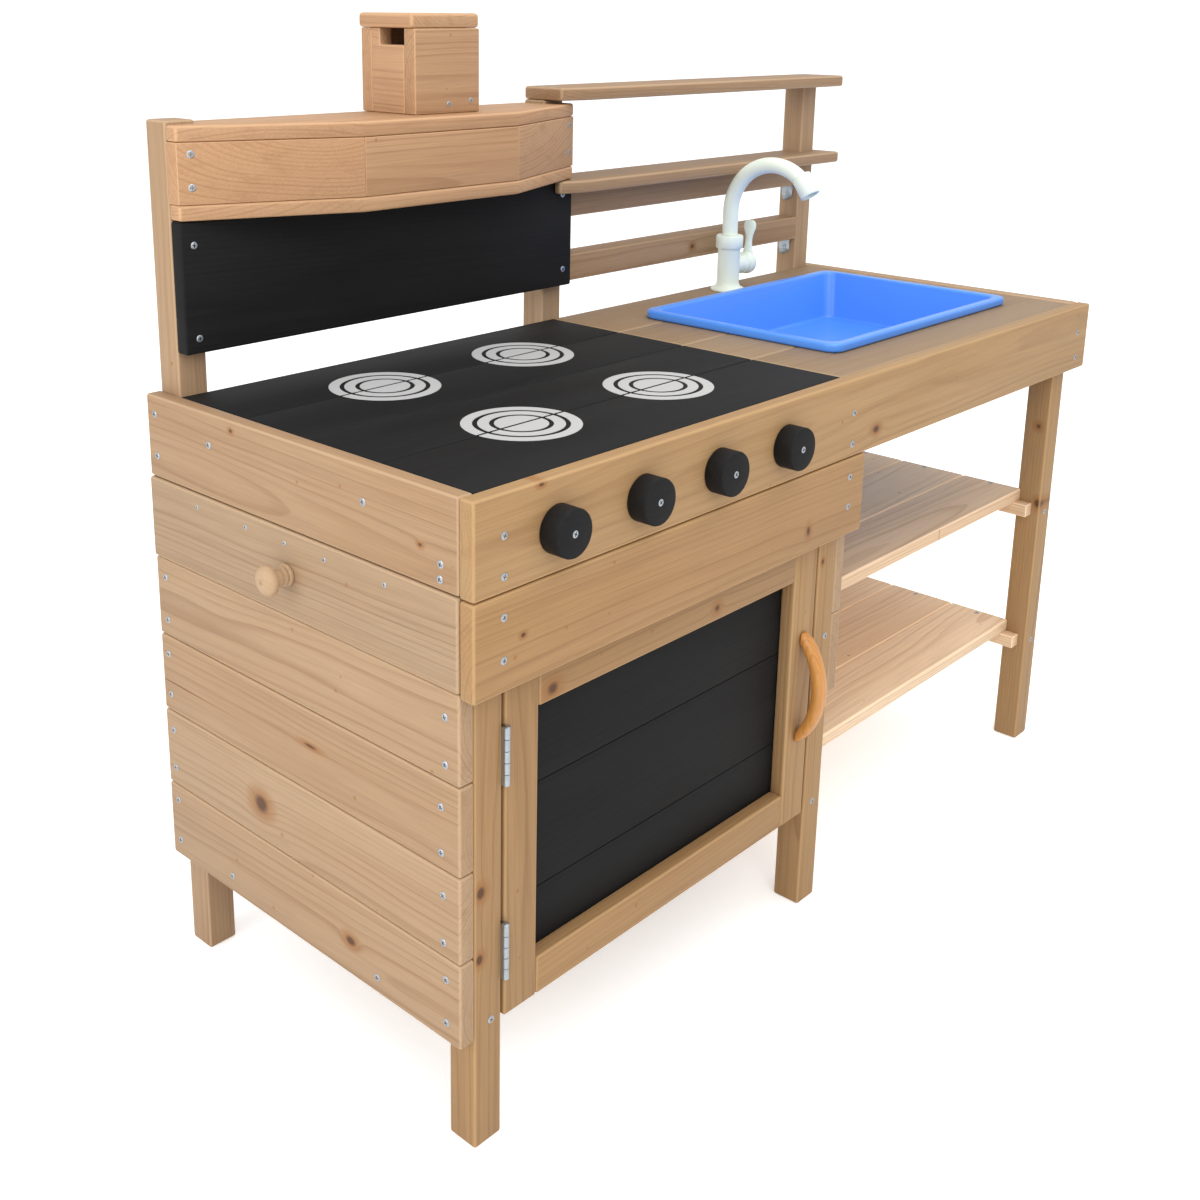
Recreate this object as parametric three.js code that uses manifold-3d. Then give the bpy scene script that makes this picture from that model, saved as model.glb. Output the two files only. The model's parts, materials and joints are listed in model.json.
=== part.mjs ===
// Toy kitchen: a free-standing wooden play kitchen with an oven cabinet, a sink counter,
// an open shelf bay, a hood with a chimney, and a pull-out leaf in the left side.
// Millimetres, +Z up. The front faces -Y and the left side faces -X.
import * as THREE from "three";
import { mergeVertices } from "three/addons/utils/BufferGeometryUtils.js";
import Module from "manifold-3d";

const wasm = await Module();
wasm.setup();

// ---- Driving dimensions ----
const overallWidth = 1200;
const overallDepth = 490;
const counterHeight = 660;
const backRise = 280; // height of the back posts above the counter
const postTop = counterHeight + backRise;
const cabinetWidth = 618;

// ---- Timber sections ----
const board = 18; // thickness of the side, front and deck boards
const thinBoard = 16; // thickness of the shelf, hood and lid boards
const boardWidth = 89;
const post = 35; // square section of the posts and of the shelf rails
const cleat = 18; // square section of the support strips

// ---- Clearances ----
const touch = 0.3; // between pieces that rest on or against each other
const seam = 1; // between neighbouring boards
const runningGap = 1.5; // round the pieces that slide or swing

// ---- Places of the posts ----
const leftPostX = board + touch;
const cabinetPostX = cabinetWidth - board - touch - post;
const rightPostX = overallWidth - board - touch - post;
const frontPostY = board + touch;
const backPostY = overallDepth - post;
const cabinetSideX = cabinetPostX + post + touch;

// ---- Counter ----
const counterRecess = 1; // the deck lies this far below the apron's top edge
const deckTop = counterHeight - counterRecess;
const deckBottom = deckTop - board;
const deckFrontY = board + touch;
const deckBackY = backPostY - touch;
const firstSeamY = 138;
const lastRowExtra = 12.2; // the last row of boards is this much wider than the pitch
const deckPitch = (deckBackY - firstSeamY - lastRowExtra) / 3;
const hobEndX = cabinetPostX + 21.3;
const frontPostTop = deckBottom - touch;

// ---- Front and sides ----
const apronHeight = 90;
const frontRailHeight = 92;
const apronBottom = counterHeight - apronHeight;
const frontRailTop = apronBottom - runningGap;
const frontRailBottom = frontRailTop - frontRailHeight;
const sidePitch = boardWidth + seam;
const sideBoardCount = 6; // the second from the top is the front of the pull-out leaf
const sideBottom = counterHeight - sideBoardCount * sidePitch + seam;

// ---- Open bay ----
const shelfFrontY = 48;
const upperShelfTop = counterHeight - 271;
const lowerShelfTop = counterHeight - 475;
const baySideBottom = counterHeight - 390;

// ---- Door ----
const doorStile = 44;
const doorRail = 41;
const doorBottom = sideBottom + 6;
const doorTop = frontRailBottom - runningGap;
const doorSideGap = 3.7;
const doorLeftX = leftPostX + post + doorSideGap;
const doorRightX = cabinetPostX - doorSideGap;
const doorFrontY = frontPostY;
const panelLap = 10; // how far the panel runs behind the stiles and rails
const panelSeams = [0.2931, 0.6193].map((part) => doorBottom + part * (doorTop - doorBottom));

// ---- Hinges of the door ----
const hingeLength = 58;
const hingeCentres = [doorBottom + 74, doorTop - 72];
const knuckleRadius = 3.2;
const pinX = leftPostX + post + doorSideGap / 2;
const pinY = doorFrontY - knuckleRadius - touch;
const hingeLeaf = 1.2;
const hingeLeafDepth = 15;

// ---- Hood ----
const hoodDepth = 122;
const hoodFrontY = overallDepth - hoodDepth;
const hoodLeftX = leftPostX;
const hoodRightX = cabinetPostX + post;
const hoodBendLeftX = hoodLeftX + 182.7;
const hoodBendRightX = hoodRightX - 169.7;
const hoodEnd = board; // depth of the square-cut ends against the posts
const hoodTopZ = postTop - 4;
const hoodHeight = 94;
const hoodBottomZ = hoodTopZ - hoodHeight;

// ---- Chimney ----
const chimneyLeftX = hoodLeftX + 0.4845 * (hoodRightX - hoodLeftX);
const chimneyWidth = 98;
const chimneyDepth = 90;
const chimneyFrontY = overallDepth - chimneyDepth;
const chimneyHeight = 92;
const lidOverhang = 4; // on the left only
const slotDepth = 40;
const slotHeight = 18;

// ---- Back wall ----
const wallBottomZ = counterHeight + 45;
const wallShelfTop = postTop - 99;
const wallShelfDepth = 74;
const wallShelfFrontY = overallDepth - wallShelfDepth;
const wallShelfRightX = overallWidth - 6;
const shelfChamferX = 38;
const shelfChamferY = 10;

// ---- Basin and tap ----
const tapFlange = 24.5;
const tapX = overallWidth - 281;
const tapY = deckBackY - 36.7;
const basinLeftX = cabinetWidth + 56;
const basinRightX = overallWidth - 86;
const basinFrontY = 80.5;
const basinBackY = tapY - tapFlange - 16;
const basinWidth = basinRightX - basinLeftX;
const basinDepth = basinBackY - basinFrontY;
const basinCentreX = (basinLeftX + basinRightX) / 2;
const basinCentreY = (basinFrontY + basinBackY) / 2;
const basinFloor = counterHeight - 57;
const rimHeight = 11;
const rimWidth = 13;
const basinWall = 3;
const basinCorner = 20;
const basinDraft = 8;
const cutOutGap = 3;
const tapBodyRadius = 16;
const tapBodyTop = counterHeight + 79;
const pipeRadius = 11;
const bendRadius = 70;
const bendTurn = THREE.MathUtils.degToRad(145);
const spoutTop = counterHeight + 194.5;
const valveZ = counterHeight + 34;
const valveRadius = 14;
const valveReach = 40;

// ---- Hob knobs, door handle and leaf knob ----
const hobKnobRadius = 23;
const hobKnobLength = 22;
const hobKnobFirstX = 101;
const hobKnobPitch = (cabinetWidth - 265.5) / 3;
const hobKnobZ = counterHeight - 48;
const handleLength = 141;
const handleReach = 33;
const handleThickness = 14;
const handleWidth = 18;
const handleCentreZ = (doorBottom + doorTop) / 2 - 1;

// ---- Pull-out leaf ----
const leafProud = 1.5; // how far its front stands out from the side boards
const leafPanelTop = counterHeight - 95;
const leafLength = cabinetPostX - 144.7;

// ---- Materials ----
function finish(color, roughness, metalness = 0) {
  return new THREE.MeshStandardMaterial({ color, roughness, metalness });
}
const sideWood = finish("#c8a57d", 0.7);
const frontWood = finish("#cda56e", 0.7);
const hoodWood = finish("#cd9669", 0.7);
const blackPaint = finish("#292929", 0.6);
const basinBlue = finish("#4b91fa", 0.3);
const tapIvory = finish("#e1e6d7", 0.35);
const handleWood = finish("#cd8c46", 0.4);
const zinc = finish("#aab4be", 0.35, 1);

const kitchen = new THREE.Group();
kitchen.name = "toy_kitchen";

function add(name, geometry, material) {
  const mesh = new THREE.Mesh(geometry, material);
  mesh.name = name;
  kitchen.add(mesh);
}

// A block between two corners.
function block([x0, y0, z0], [x1, y1, z1]) {
  const geometry = new THREE.BoxGeometry(x1 - x0, y1 - y0, z1 - z0);
  return geometry.translate((x0 + x1) / 2, (y0 + y1) / 2, (z0 + z1) / 2);
}

// A plan outline, given anticlockwise from above, raised from z0 to z1.
function slab(points, z0, z1) {
  const shape = new THREE.Shape(points.map(([x, y]) => new THREE.Vector2(x, y)));
  const geometry = new THREE.ExtrudeGeometry(shape, { depth: z1 - z0, bevelEnabled: false });
  return geometry.translate(0, 0, z0);
}

function solid(geometry) {
  const plain = geometry.index ? geometry.toNonIndexed() : geometry.clone();
  plain.deleteAttribute("normal");
  plain.deleteAttribute("uv");
  const merged = mergeVertices(plain, 1e-4);
  return new wasm.Manifold(
    new wasm.Mesh({
      numProp: 3,
      vertProperties: new Float32Array(merged.attributes.position.array),
      triVerts: new Uint32Array(merged.index.array),
    }),
  );
}

function geometryOf(body) {
  const mesh = body.getMesh();
  const geometry = new THREE.BufferGeometry();
  geometry.setAttribute("position", new THREE.BufferAttribute(mesh.vertProperties, 3));
  geometry.setIndex(new THREE.BufferAttribute(mesh.triVerts, 1));
  return geometry.toNonIndexed();
}

function join(...pieces) {
  return geometryOf(pieces.map(solid).reduce((whole, piece) => whole.add(piece)));
}

function cut(geometry, ...tools) {
  return geometryOf(tools.map(solid).reduce((rest, tool) => rest.subtract(tool), solid(geometry)));
}

// The four rows of boards that the counter, the shelves and the cabinet floor share.
function rows(frontY, backY) {
  const seams = [0, 1, 2].map((n) => firstSeamY + n * deckPitch);
  const starts = [frontY, ...seams.map((y) => y + seam / 2)];
  const ends = [...seams.map((y) => y - seam / 2), backY];
  return starts.map((y, n) => [y, ends[n]]);
}

// A deck of those rows held together by strips let into its underside.
function deck(x0, x1, frontY, backY, top, strips) {
  const boards = rows(frontY, backY).map(([y0, y1]) => block([x0, y0, top - board], [x1, y1, top]));
  const letIn = 1;
  const supports = strips.map(([sx0, sx1, sy0, sy1]) =>
    block([sx0, sy0, top - board - cleat], [sx1, sy1, top - board + letIn]),
  );
  return join(...boards, ...supports);
}

// ---- Posts ----
function buildPosts() {
  const places = [
    ["post_front_left", leftPostX, frontPostY, frontPostTop],
    ["post_front_middle", cabinetPostX, frontPostY, frontPostTop],
    ["post_front_right", rightPostX, frontPostY, frontPostTop],
    ["post_back_left", leftPostX, backPostY, postTop],
    ["post_back_middle", cabinetPostX, backPostY, postTop],
    ["post_back_right", rightPostX, backPostY, postTop],
  ];
  for (const [name, x, y, top] of places)
    add(name, block([x, y, 0], [x + post, y + post, top]), sideWood);
}

// ---- Apron, front rail, side boards and end rail ----
function buildCarcass() {
  add("front_apron", block([0, 0, apronBottom], [overallWidth, board, counterHeight]), frontWood);
  const railTopCorner = [cabinetWidth, board, frontRailTop];
  add("lower_front_rail", block([0, 0, frontRailBottom], railTopCorner), frontWood);

  const strip = (x, y0, y1, top) => block([x, y0, top - cleat], [x + cleat, y1, top]);
  const innerY0 = frontPostY + post + touch;
  const innerY1 = backPostY - touch;
  const letIn = 1;
  for (let n = 0; n < sideBoardCount; n += 1) {
    const top = counterHeight - n * sidePitch;
    const plank = block([0, frontPostY, top - boardWidth], [board, overallDepth, top]);
    if (n === 0) {
      const holder = strip(board - letIn, innerY0, innerY1, frontPostTop);
      add("left_top_rail", join(plank, holder), sideWood);
    } else if (n === sideBoardCount - 1) {
      const holder = strip(board - letIn, innerY0, innerY1, floorBottom() - touch);
      add("left_side_board_4", join(plank, holder), sideWood);
    } else if (n > 1) add(`left_side_board_${n - 1}`, plank, sideWood);
  }

  const endX = overallWidth - board;
  const endRail = block(
    [endX, frontPostY, counterHeight - boardWidth],
    [overallWidth, overallDepth, counterHeight],
  );
  const endHolder = strip(endX - cleat + letIn, innerY0, innerY1, frontPostTop);
  add("right_end_rail", join(endRail, endHolder), sideWood);

  const sideX1 = cabinetWidth;
  const sideEnd = overallDepth;
  const crossRail = block(
    [cabinetPostX, innerY0, frontPostTop - post],
    [cabinetSideX + letIn, innerY1, frontPostTop],
  );
  const upperSide = block([cabinetSideX, frontPostY, frontRailBottom], [sideX1, sideEnd, frontPostTop]);
  const groove = block(
    [cabinetSideX + board / 2, frontPostY - seam, frontPostTop - boardWidth],
    [sideX1 + seam, sideEnd + seam, frontPostTop - boardWidth + seam],
  );
  add("cabinet_side_top", cut(join(crossRail, upperSide), groove), sideWood);
  const middleTop = frontRailBottom - seam;
  const middleSide = block([cabinetSideX, frontPostY, upperShelfTop + touch], [sideX1, sideEnd, middleTop]);
  const lowTop = upperShelfTop - board - touch;
  const spacer = block(
    [cabinetSideX, frontPostY, lowTop + touch],
    [sideX1, shelfFrontY - touch, upperShelfTop + touch + letIn],
  );
  add("cabinet_side_middle", join(middleSide, spacer), sideWood);
  const lowSide = block([cabinetSideX, frontPostY, baySideBottom], [sideX1, sideEnd, lowTop]);
  add("cabinet_side_low", lowSide, sideWood);
}

function floorBottom() {
  return doorBottom + doorRail - board;
}

// ---- Counter decks ----
function buildCounter() {
  const hob = rows(deckFrontY, deckBackY);
  hob.forEach(([y0, y1], n) => {
    const plank = block([board + touch, y0, deckBottom], [hobEndX - seam / 2, y1, deckTop]);
    add(`hob_board_${n + 1}`, plank, blackPaint);
  });

  const x0 = hobEndX + seam / 2;
  const x1 = overallWidth - board - touch;
  const halfX = basinWidth / 2 - rimWidth + basinWall + cutOutGap;
  const halfY = basinDepth / 2 - rimWidth + basinWall + cutOutGap;
  const hole = block(
    [basinCentreX - halfX, basinCentreY - halfY, deckBottom - cleat],
    [basinCentreX + halfX, basinCentreY + halfY, deckTop + seam],
  );
  const through = ([y0, y1]) => cut(block([x0, y0, deckBottom], [x1, y1, deckTop]), hole);
  add("sink_board_front", through(hob[0]), frontWood);
  add("sink_board_back", through(hob[3]), frontWood);

  const letIn = 1;
  const margin = 8;
  const holders = [
    ["sink_boards_left", x0, basinCentreX - halfX, basinCentreX - halfX - cleat],
    ["sink_boards_right", basinCentreX + halfX, x1, basinCentreX + halfX],
  ];
  for (const [name, left, right, stripX] of holders) {
    const short = [hob[1], hob[2]].map(([y0, y1]) => block([left, y0, deckBottom], [right, y1, deckTop]));
    const strip = block(
      [stripX, hob[1][0] + margin, deckBottom - cleat],
      [stripX + cleat, hob[2][1] - margin, deckBottom + letIn],
    );
    add(name, join(...short, strip), frontWood);
  }
}

// ---- Shelves of the open bay and floor of the cabinet ----
function buildShelves() {
  const x0 = cabinetSideX;
  const x1 = rightPostX - touch;
  const stripY0 = 30;
  const stripY1 = overallDepth - 12;
  const rightStrip = [x1 - cleat, x1, stripY0, stripY1];
  const leftStrip = [x0, x0 + cleat, stripY0, stripY1];
  const shelf = (top, strips) => deck(x0, x1, shelfFrontY, deckBackY, top, strips);
  add("upper_shelf", shelf(upperShelfTop, [rightStrip]), frontWood);
  add("lower_shelf", shelf(lowerShelfTop, [leftStrip, rightStrip]), frontWood);

  const innerY0 = frontPostY + post + touch;
  const floorFrontY = innerY0 + 4;
  const rightHolder = [cabinetPostX + post - cleat, cabinetPostX + post, innerY0, deckBackY];
  const floorTop = floorBottom() + board;
  const floor = deck(board + touch, cabinetPostX + post, floorFrontY, deckBackY, floorTop, [rightHolder]);
  add("cabinet_floor", floor, sideWood);
}

// ---- Door ----
function buildDoor() {
  const y0 = doorFrontY;
  const y1 = y0 + board;
  const railX0 = doorLeftX + doorStile + touch;
  const railX1 = doorRightX - doorStile - touch;
  const stile = (x) => block([x, y0, doorBottom], [x + doorStile, y1, doorTop]);
  add("door_stile_left", stile(doorLeftX), frontWood);
  add("door_stile_right", stile(doorRightX - doorStile), frontWood);
  add("door_rail_top", block([railX0, y0, doorTop - doorRail], [railX1, y1, doorTop]), frontWood);
  add("door_rail_bottom", block([railX0, y0, doorBottom], [railX1, y1, doorBottom + doorRail]), frontWood);

  const panelY0 = y1 + touch;
  const panelY1 = panelY0 + thinBoard;
  const low = doorBottom + doorRail - panelLap;
  const high = doorTop - doorRail + panelLap;
  const panel = block([railX0 - panelLap, panelY0, low], [railX1 + panelLap, panelY1, high]);
  const grooves = panelSeams.map((z) =>
    block(
      [railX0 - panelLap - seam, panelY0 - seam, z - seam / 2],
      [railX1 + panelLap + seam, panelY0 + thinBoard / 2, z + seam / 2],
    ),
  );
  add("door_panel", cut(panel, ...grooves), blackPaint);
  add("door_handle", bowHandle(), handleWood);
}

// A bow: a curved bar whose two ends are cut flat against the door.
function bowHandle() {
  const centreX = doorRightX - doorStile / 2;
  const half = handleLength / 2;
  const innerHalf = half - handleThickness;
  const innerReach = handleReach - handleThickness;
  const baseY = doorFrontY - touch;
  const outer = [];
  const inner = [];
  const steps = 16;
  for (let n = 0; n <= steps; n += 1) {
    const across = -1 + (2 * n) / steps;
    const rise = 1 - across * across;
    outer.push(new THREE.Vector2(across * half, handleReach * rise ** 0.75));
    inner.push(new THREE.Vector2(across * innerHalf, innerReach * rise));
  }
  const profile = new THREE.Shape([...outer, ...inner.reverse()]);
  const bar = new THREE.ExtrudeGeometry(profile, { depth: handleWidth, bevelEnabled: false });
  bar.applyMatrix4(
    new THREE.Matrix4().makeBasis(
      new THREE.Vector3(0, 0, 1),
      new THREE.Vector3(0, -1, 0),
      new THREE.Vector3(1, 0, 0),
    ),
  );
  return bar.translate(centreX - handleWidth / 2, baseY, handleCentreZ);
}

// The fixed leaf of a butt hinge with its knuckles and the pin's head.
function buildHinges() {
  const leafX0 = leftPostX + post + touch;
  ["low", "high"].forEach((place, n) => {
    const z = hingeCentres[n];
    const barrel = new THREE.CylinderGeometry(knuckleRadius, knuckleRadius, hingeLength, 16);
    barrel.rotateX(Math.PI / 2).translate(pinX, pinY, z);
    const leaf = block(
      [leafX0, pinY, z - hingeLength / 2],
      [leafX0 + hingeLeaf, pinY + hingeLeafDepth, z + hingeLength / 2],
    );
    add(`hinge_${place}`, join(barrel, leaf), zinc);
  });
}

// ---- Hood ----
function hoodOutline() {
  const endY = backPostY - hoodEnd;
  const wallY = backPostY - touch;
  const innerLeft = leftPostX + post + touch;
  const innerRight = cabinetPostX - touch;
  return [
    [hoodLeftX, endY],
    [hoodBendLeftX, hoodFrontY],
    [hoodBendRightX, hoodFrontY],
    [hoodRightX, endY],
    [hoodRightX, wallY],
    [innerRight, wallY],
    [innerRight, overallDepth],
    [innerLeft, overallDepth],
    [innerLeft, wallY],
    [hoodLeftX, wallY],
  ];
}

function buildHood() {
  const outline = hoodOutline();
  const fasciaZ0 = hoodBottomZ + thinBoard + touch;
  const fasciaZ1 = hoodTopZ - thinBoard - touch;
  add("hood_bottom", slab(outline, hoodBottomZ, hoodBottomZ + thinBoard), hoodWood);
  add("hood_top", slab(outline, hoodTopZ - thinBoard, hoodTopZ), hoodWood);

  const endY = backPostY - hoodEnd;
  const wallY = backPostY - touch;
  const innerFrontY = hoodFrontY + board;
  // The three boards meet in mitres that halve the bend.
  const bend = (run) => Math.atan2(endY - hoodFrontY, run);
  const mitre = (run) => board * Math.tan(bend(run) / 2);
  const leftRun = hoodBendLeftX - hoodLeftX;
  const rightRun = hoodRightX - hoodBendRightX;
  const innerLeftX = hoodBendLeftX + mitre(leftRun);
  const innerRightX = hoodBendRightX - mitre(rightRun);
  const backLeftX = innerLeftX - (wallY - innerFrontY) / Math.tan(bend(leftRun));
  const backRightX = innerRightX + (wallY - innerFrontY) / Math.tan(bend(rightRun));
  const gap = touch / 2;
  const left = [
    [hoodLeftX, endY],
    [hoodBendLeftX - gap, hoodFrontY],
    [innerLeftX - gap, innerFrontY],
    [backLeftX, wallY],
    [hoodLeftX, wallY],
  ];
  const front = [
    [hoodBendLeftX + gap, hoodFrontY],
    [hoodBendRightX - gap, hoodFrontY],
    [innerRightX - gap, innerFrontY],
    [innerLeftX + gap, innerFrontY],
  ];
  const right = [
    [hoodBendRightX + gap, hoodFrontY],
    [hoodRightX, endY],
    [hoodRightX, wallY],
    [backRightX, wallY],
    [innerRightX + gap, innerFrontY],
  ];
  add("hood_fascia_left", slab(left, fasciaZ0, fasciaZ1), hoodWood);
  add("hood_fascia_front", slab(front, fasciaZ0, fasciaZ1), hoodWood);
  add("hood_fascia_right", slab(right, fasciaZ0, fasciaZ1), hoodWood);
}

// ---- Chimney: a four-board box with a slot in its left side, and a lid ----
function buildChimney() {
  const x0 = chimneyLeftX;
  const x1 = x0 + chimneyWidth;
  const y0 = chimneyFrontY;
  const y1 = overallDepth;
  const z0 = hoodTopZ + touch;
  const z1 = z0 + chimneyHeight;
  const outside = block([x0, y0, z0], [x1, y1, z1]);
  const inside = block([x0 + board, y0 + board, z0 - seam], [x1 - board, y1 - board, z1 + seam]);
  const slot = block(
    [x0 - seam, y0 + board, z1 - slotHeight],
    [x0 + board + seam, y0 + board + slotDepth, z1 + seam],
  );
  add("chimney_box", cut(outside, inside, slot), hoodWood);
  const lidZ = z1 + touch;
  const lid = block([x0 - lidOverhang, y0, lidZ], [x1, y1, lidZ + thinBoard]);
  add("chimney_lid", lid, hoodWood);
}

// ---- Back wall: chalkboard, shelves and rails ----
function buildWall() {
  const wallY = backPostY - touch;
  const boardY0 = wallY - board + touch;
  const wallTop = hoodBottomZ - seam;
  add("chalkboard", block([leftPostX, boardY0, wallBottomZ], [hoodRightX, wallY, wallTop]), blackPaint);

  const x0 = cabinetPostX;
  const frontStart = [x0, wallShelfFrontY + shelfChamferY];
  const frontEdge = [
    [x0 + shelfChamferX, wallShelfFrontY],
    [wallShelfRightX, wallShelfFrontY],
  ];
  const top = [frontStart, ...frontEdge, [wallShelfRightX, overallDepth], [x0, overallDepth]];
  add("top_shelf", slab(top, postTop + touch, postTop + touch + thinBoard), sideWood);

  const railX0 = cabinetPostX + post + touch;
  const railX1 = rightPostX - touch;
  const passRight = rightPostX + post + touch;
  const second = [
    frontStart,
    ...frontEdge,
    [wallShelfRightX, overallDepth],
    [passRight, overallDepth],
    [passRight, wallY],
    [railX1, wallY],
    [railX1, overallDepth],
    [railX0, overallDepth],
    [railX0, boardY0 - touch],
    [x0, boardY0 - touch],
  ];
  add("second_shelf", slab(second, wallShelfTop - thinBoard, wallShelfTop), sideWood);

  const upperTop = wallShelfTop - thinBoard - touch;
  const rail = (z) => block([railX0, backPostY, z], [railX1, overallDepth, z + post]);
  add("shelf_rail", rail(upperTop - post), sideWood);
  add("hanging_rail", rail(wallBottomZ), sideWood);
}

// ---- Basin: a rounded tray hanging by its rim ----
// A ring is a rounded rectangle; the loft runs through the rings and is closed at both ends.
function ring(halfX, halfY, radius, z) {
  const points = [];
  const corners = [
    [1, 1, 0],
    [-1, 1, 1],
    [-1, -1, 2],
    [1, -1, 3],
  ];
  const steps = 5;
  for (const [sx, sy, quarter] of corners)
    for (let n = 0; n <= steps; n += 1) {
      const angle = ((quarter + n / steps) * Math.PI) / 2;
      const x = sx * (halfX - radius) + radius * Math.cos(angle);
      const y = sy * (halfY - radius) + radius * Math.sin(angle);
      points.push([x, y, z]);
    }
  return points;
}

function loft(rings) {
  const count = rings[0].length;
  const index = [];
  for (let r = 0; r + 1 < rings.length; r += 1)
    for (let n = 0; n < count; n += 1) {
      const a = r * count + n;
      const b = r * count + ((n + 1) % count);
      index.push(a, b, b + count, a, b + count, a + count);
    }
  const last = (rings.length - 1) * count;
  for (let n = 1; n + 1 < count; n += 1) {
    index.push(0, n + 1, n);
    index.push(last, last + n, last + n + 1);
  }
  const geometry = new THREE.BufferGeometry();
  geometry.setAttribute("position", new THREE.Float32BufferAttribute(rings.flat(2), 3));
  geometry.setIndex(index);
  return geometry;
}

function buildBasin() {
  const halfX = basinWidth / 2;
  const halfY = basinDepth / 2;
  const wallX = halfX - rimWidth;
  const wallY = halfY - rimWidth;
  const rimBottom = deckTop + touch;
  const rimTop = rimBottom + rimHeight;
  const rimRound = 4;
  const innerCorner = basinCorner - basinWall;
  const footX = wallX - basinDraft;
  const footY = wallY - basinDraft;
  const rings = [
    ring(footX + basinWall, footY + basinWall, basinCorner, basinFloor - basinWall),
    ring(wallX + basinWall, wallY + basinWall, basinCorner, rimBottom),
    ring(halfX, halfY, basinCorner + rimRound, rimBottom),
    ring(halfX, halfY, basinCorner + rimRound, rimTop - rimRound),
    ring(halfX - rimRound, halfY - rimRound, basinCorner, rimTop),
    ring(wallX + rimRound, wallY + rimRound, basinCorner, rimTop),
    ring(wallX, wallY, innerCorner, rimTop - rimRound),
    ring(footX + rimRound / 2, footY + rimRound / 2, innerCorner, basinFloor + rimRound),
    ring(footX - rimRound, footY - rimRound, innerCorner, basinFloor),
  ];
  add("basin", loft(rings).translate(basinCentreX, basinCentreY, 0), basinBlue);
}

// ---- Tap ----
function turned(profile, segments = 24) {
  const lathe = new THREE.LatheGeometry(profile.map(([r, z]) => new THREE.Vector2(r, z)), segments);
  return lathe.rotateX(Math.PI / 2);
}

function buildTap() {
  const base = deckTop + touch;
  const collar = 19.5;
  const collarBottom = tapBodyTop - 20;
  const column = turned([
    [0, base],
    [tapFlange, base],
    [tapFlange, base + 4],
    [tapBodyRadius + 2, base + 8],
    [tapBodyRadius, base + 14],
    [tapBodyRadius, collarBottom],
    [collar, collarBottom + 3],
    [collar, tapBodyTop - 2],
    [collar - 2, tapBodyTop],
    [0, tapBodyTop],
  ]);
  const barrel = turned([
    [0, 0],
    [valveRadius, 0],
    [valveRadius, valveReach],
    [0, valveReach],
  ]);
  barrel.rotateY(Math.PI / 2).translate(0, 0, valveZ);
  add("tap_body", join(column, barrel).translate(tapX, tapY, 0), tapIvory);

  const start = tapBodyTop + touch;
  const bendZ = spoutTop - pipeRadius - bendRadius;
  class SpoutLine extends THREE.Curve {
    getPoint(t, target = new THREE.Vector3()) {
      const rise = bendZ - start;
      const length = rise + bendRadius * bendTurn;
      const way = t * length;
      if (way < rise) return target.set(0, 0, start + way);
      const angle = (way - rise) / bendRadius;
      return target.set(0, -bendRadius * (1 - Math.cos(angle)), bendZ + bendRadius * Math.sin(angle));
    }
  }
  const section = new THREE.Shape();
  section.absarc(0, 0, pipeRadius, 0, 2 * Math.PI);
  const pipe = new THREE.ExtrudeGeometry(section, {
    steps: 24,
    curveSegments: 8,
    extrudePath: new SpoutLine(),
    bevelEnabled: false,
  });
  const nozzleRadius = 13.8;
  const nozzleLength = 34;
  const overrun = 8; // the nozzle's mouth stands past the end of the pipe
  const nozzle = turned([
    [0, 0],
    [nozzleRadius, 0],
    [nozzleRadius, nozzleLength - 3],
    [pipeRadius, nozzleLength],
    [0, nozzleLength],
  ]);
  const endY = -bendRadius * (1 - Math.cos(bendTurn));
  const endZ = bendZ + bendRadius * Math.sin(bendTurn);
  const outward = new THREE.Vector3(0, -Math.sin(bendTurn), Math.cos(bendTurn));
  const upright = new THREE.Vector3(0, 0, 1);
  const aim = new THREE.Quaternion().setFromUnitVectors(upright, outward.clone().negate());
  nozzle.applyQuaternion(aim);
  nozzle.translate(0, endY + outward.y * overrun, endZ + outward.z * overrun);
  add("tap_spout", join(pipe, nozzle).translate(tapX, tapY, 0), tapIvory);

  const hubLength = 14;
  const hub = turned([
    [0, 0],
    [valveRadius, 0],
    [valveRadius, hubLength - 3],
    [valveRadius - 3, hubLength],
    [0, hubLength],
  ]);
  hub.rotateY(Math.PI / 2);
  const paddleHeight = 62;
  const paddle = new THREE.Shape();
  paddle.moveTo(-5, 0);
  paddle.lineTo(5, 0);
  paddle.lineTo(4, 34);
  paddle.quadraticCurveTo(10, 42, 9, 54);
  paddle.quadraticCurveTo(7, paddleHeight, 0, paddleHeight);
  paddle.quadraticCurveTo(-7, paddleHeight, -9, 54);
  paddle.quadraticCurveTo(-10, 42, -4, 34);
  const blade = new THREE.ExtrudeGeometry(paddle, { depth: 6, curveSegments: 4, bevelEnabled: false });
  blade.rotateX(Math.PI / 2).rotateZ(Math.PI / 2).translate(4, 0, 0);
  const lever = join(hub, blade).translate(tapX + valveReach + touch, tapY, valveZ);
  add("tap_lever", lever, tapIvory);
}

// ---- Knobs ----
function buildHobKnobs() {
  for (let n = 0; n < 4; n += 1) {
    const rounding = 2;
    const knob = turned(
      [
        [0, 0],
        [hobKnobRadius, 0],
        [hobKnobRadius, hobKnobLength - rounding],
        [hobKnobRadius - rounding, hobKnobLength],
        [0, hobKnobLength],
      ],
      32,
    );
    knob.rotateX(Math.PI / 2);
    knob.translate(hobKnobFirstX + n * hobKnobPitch, -touch, hobKnobZ);
    add(`hob_knob_${n + 1}`, knob, blackPaint);
  }
}

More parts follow.
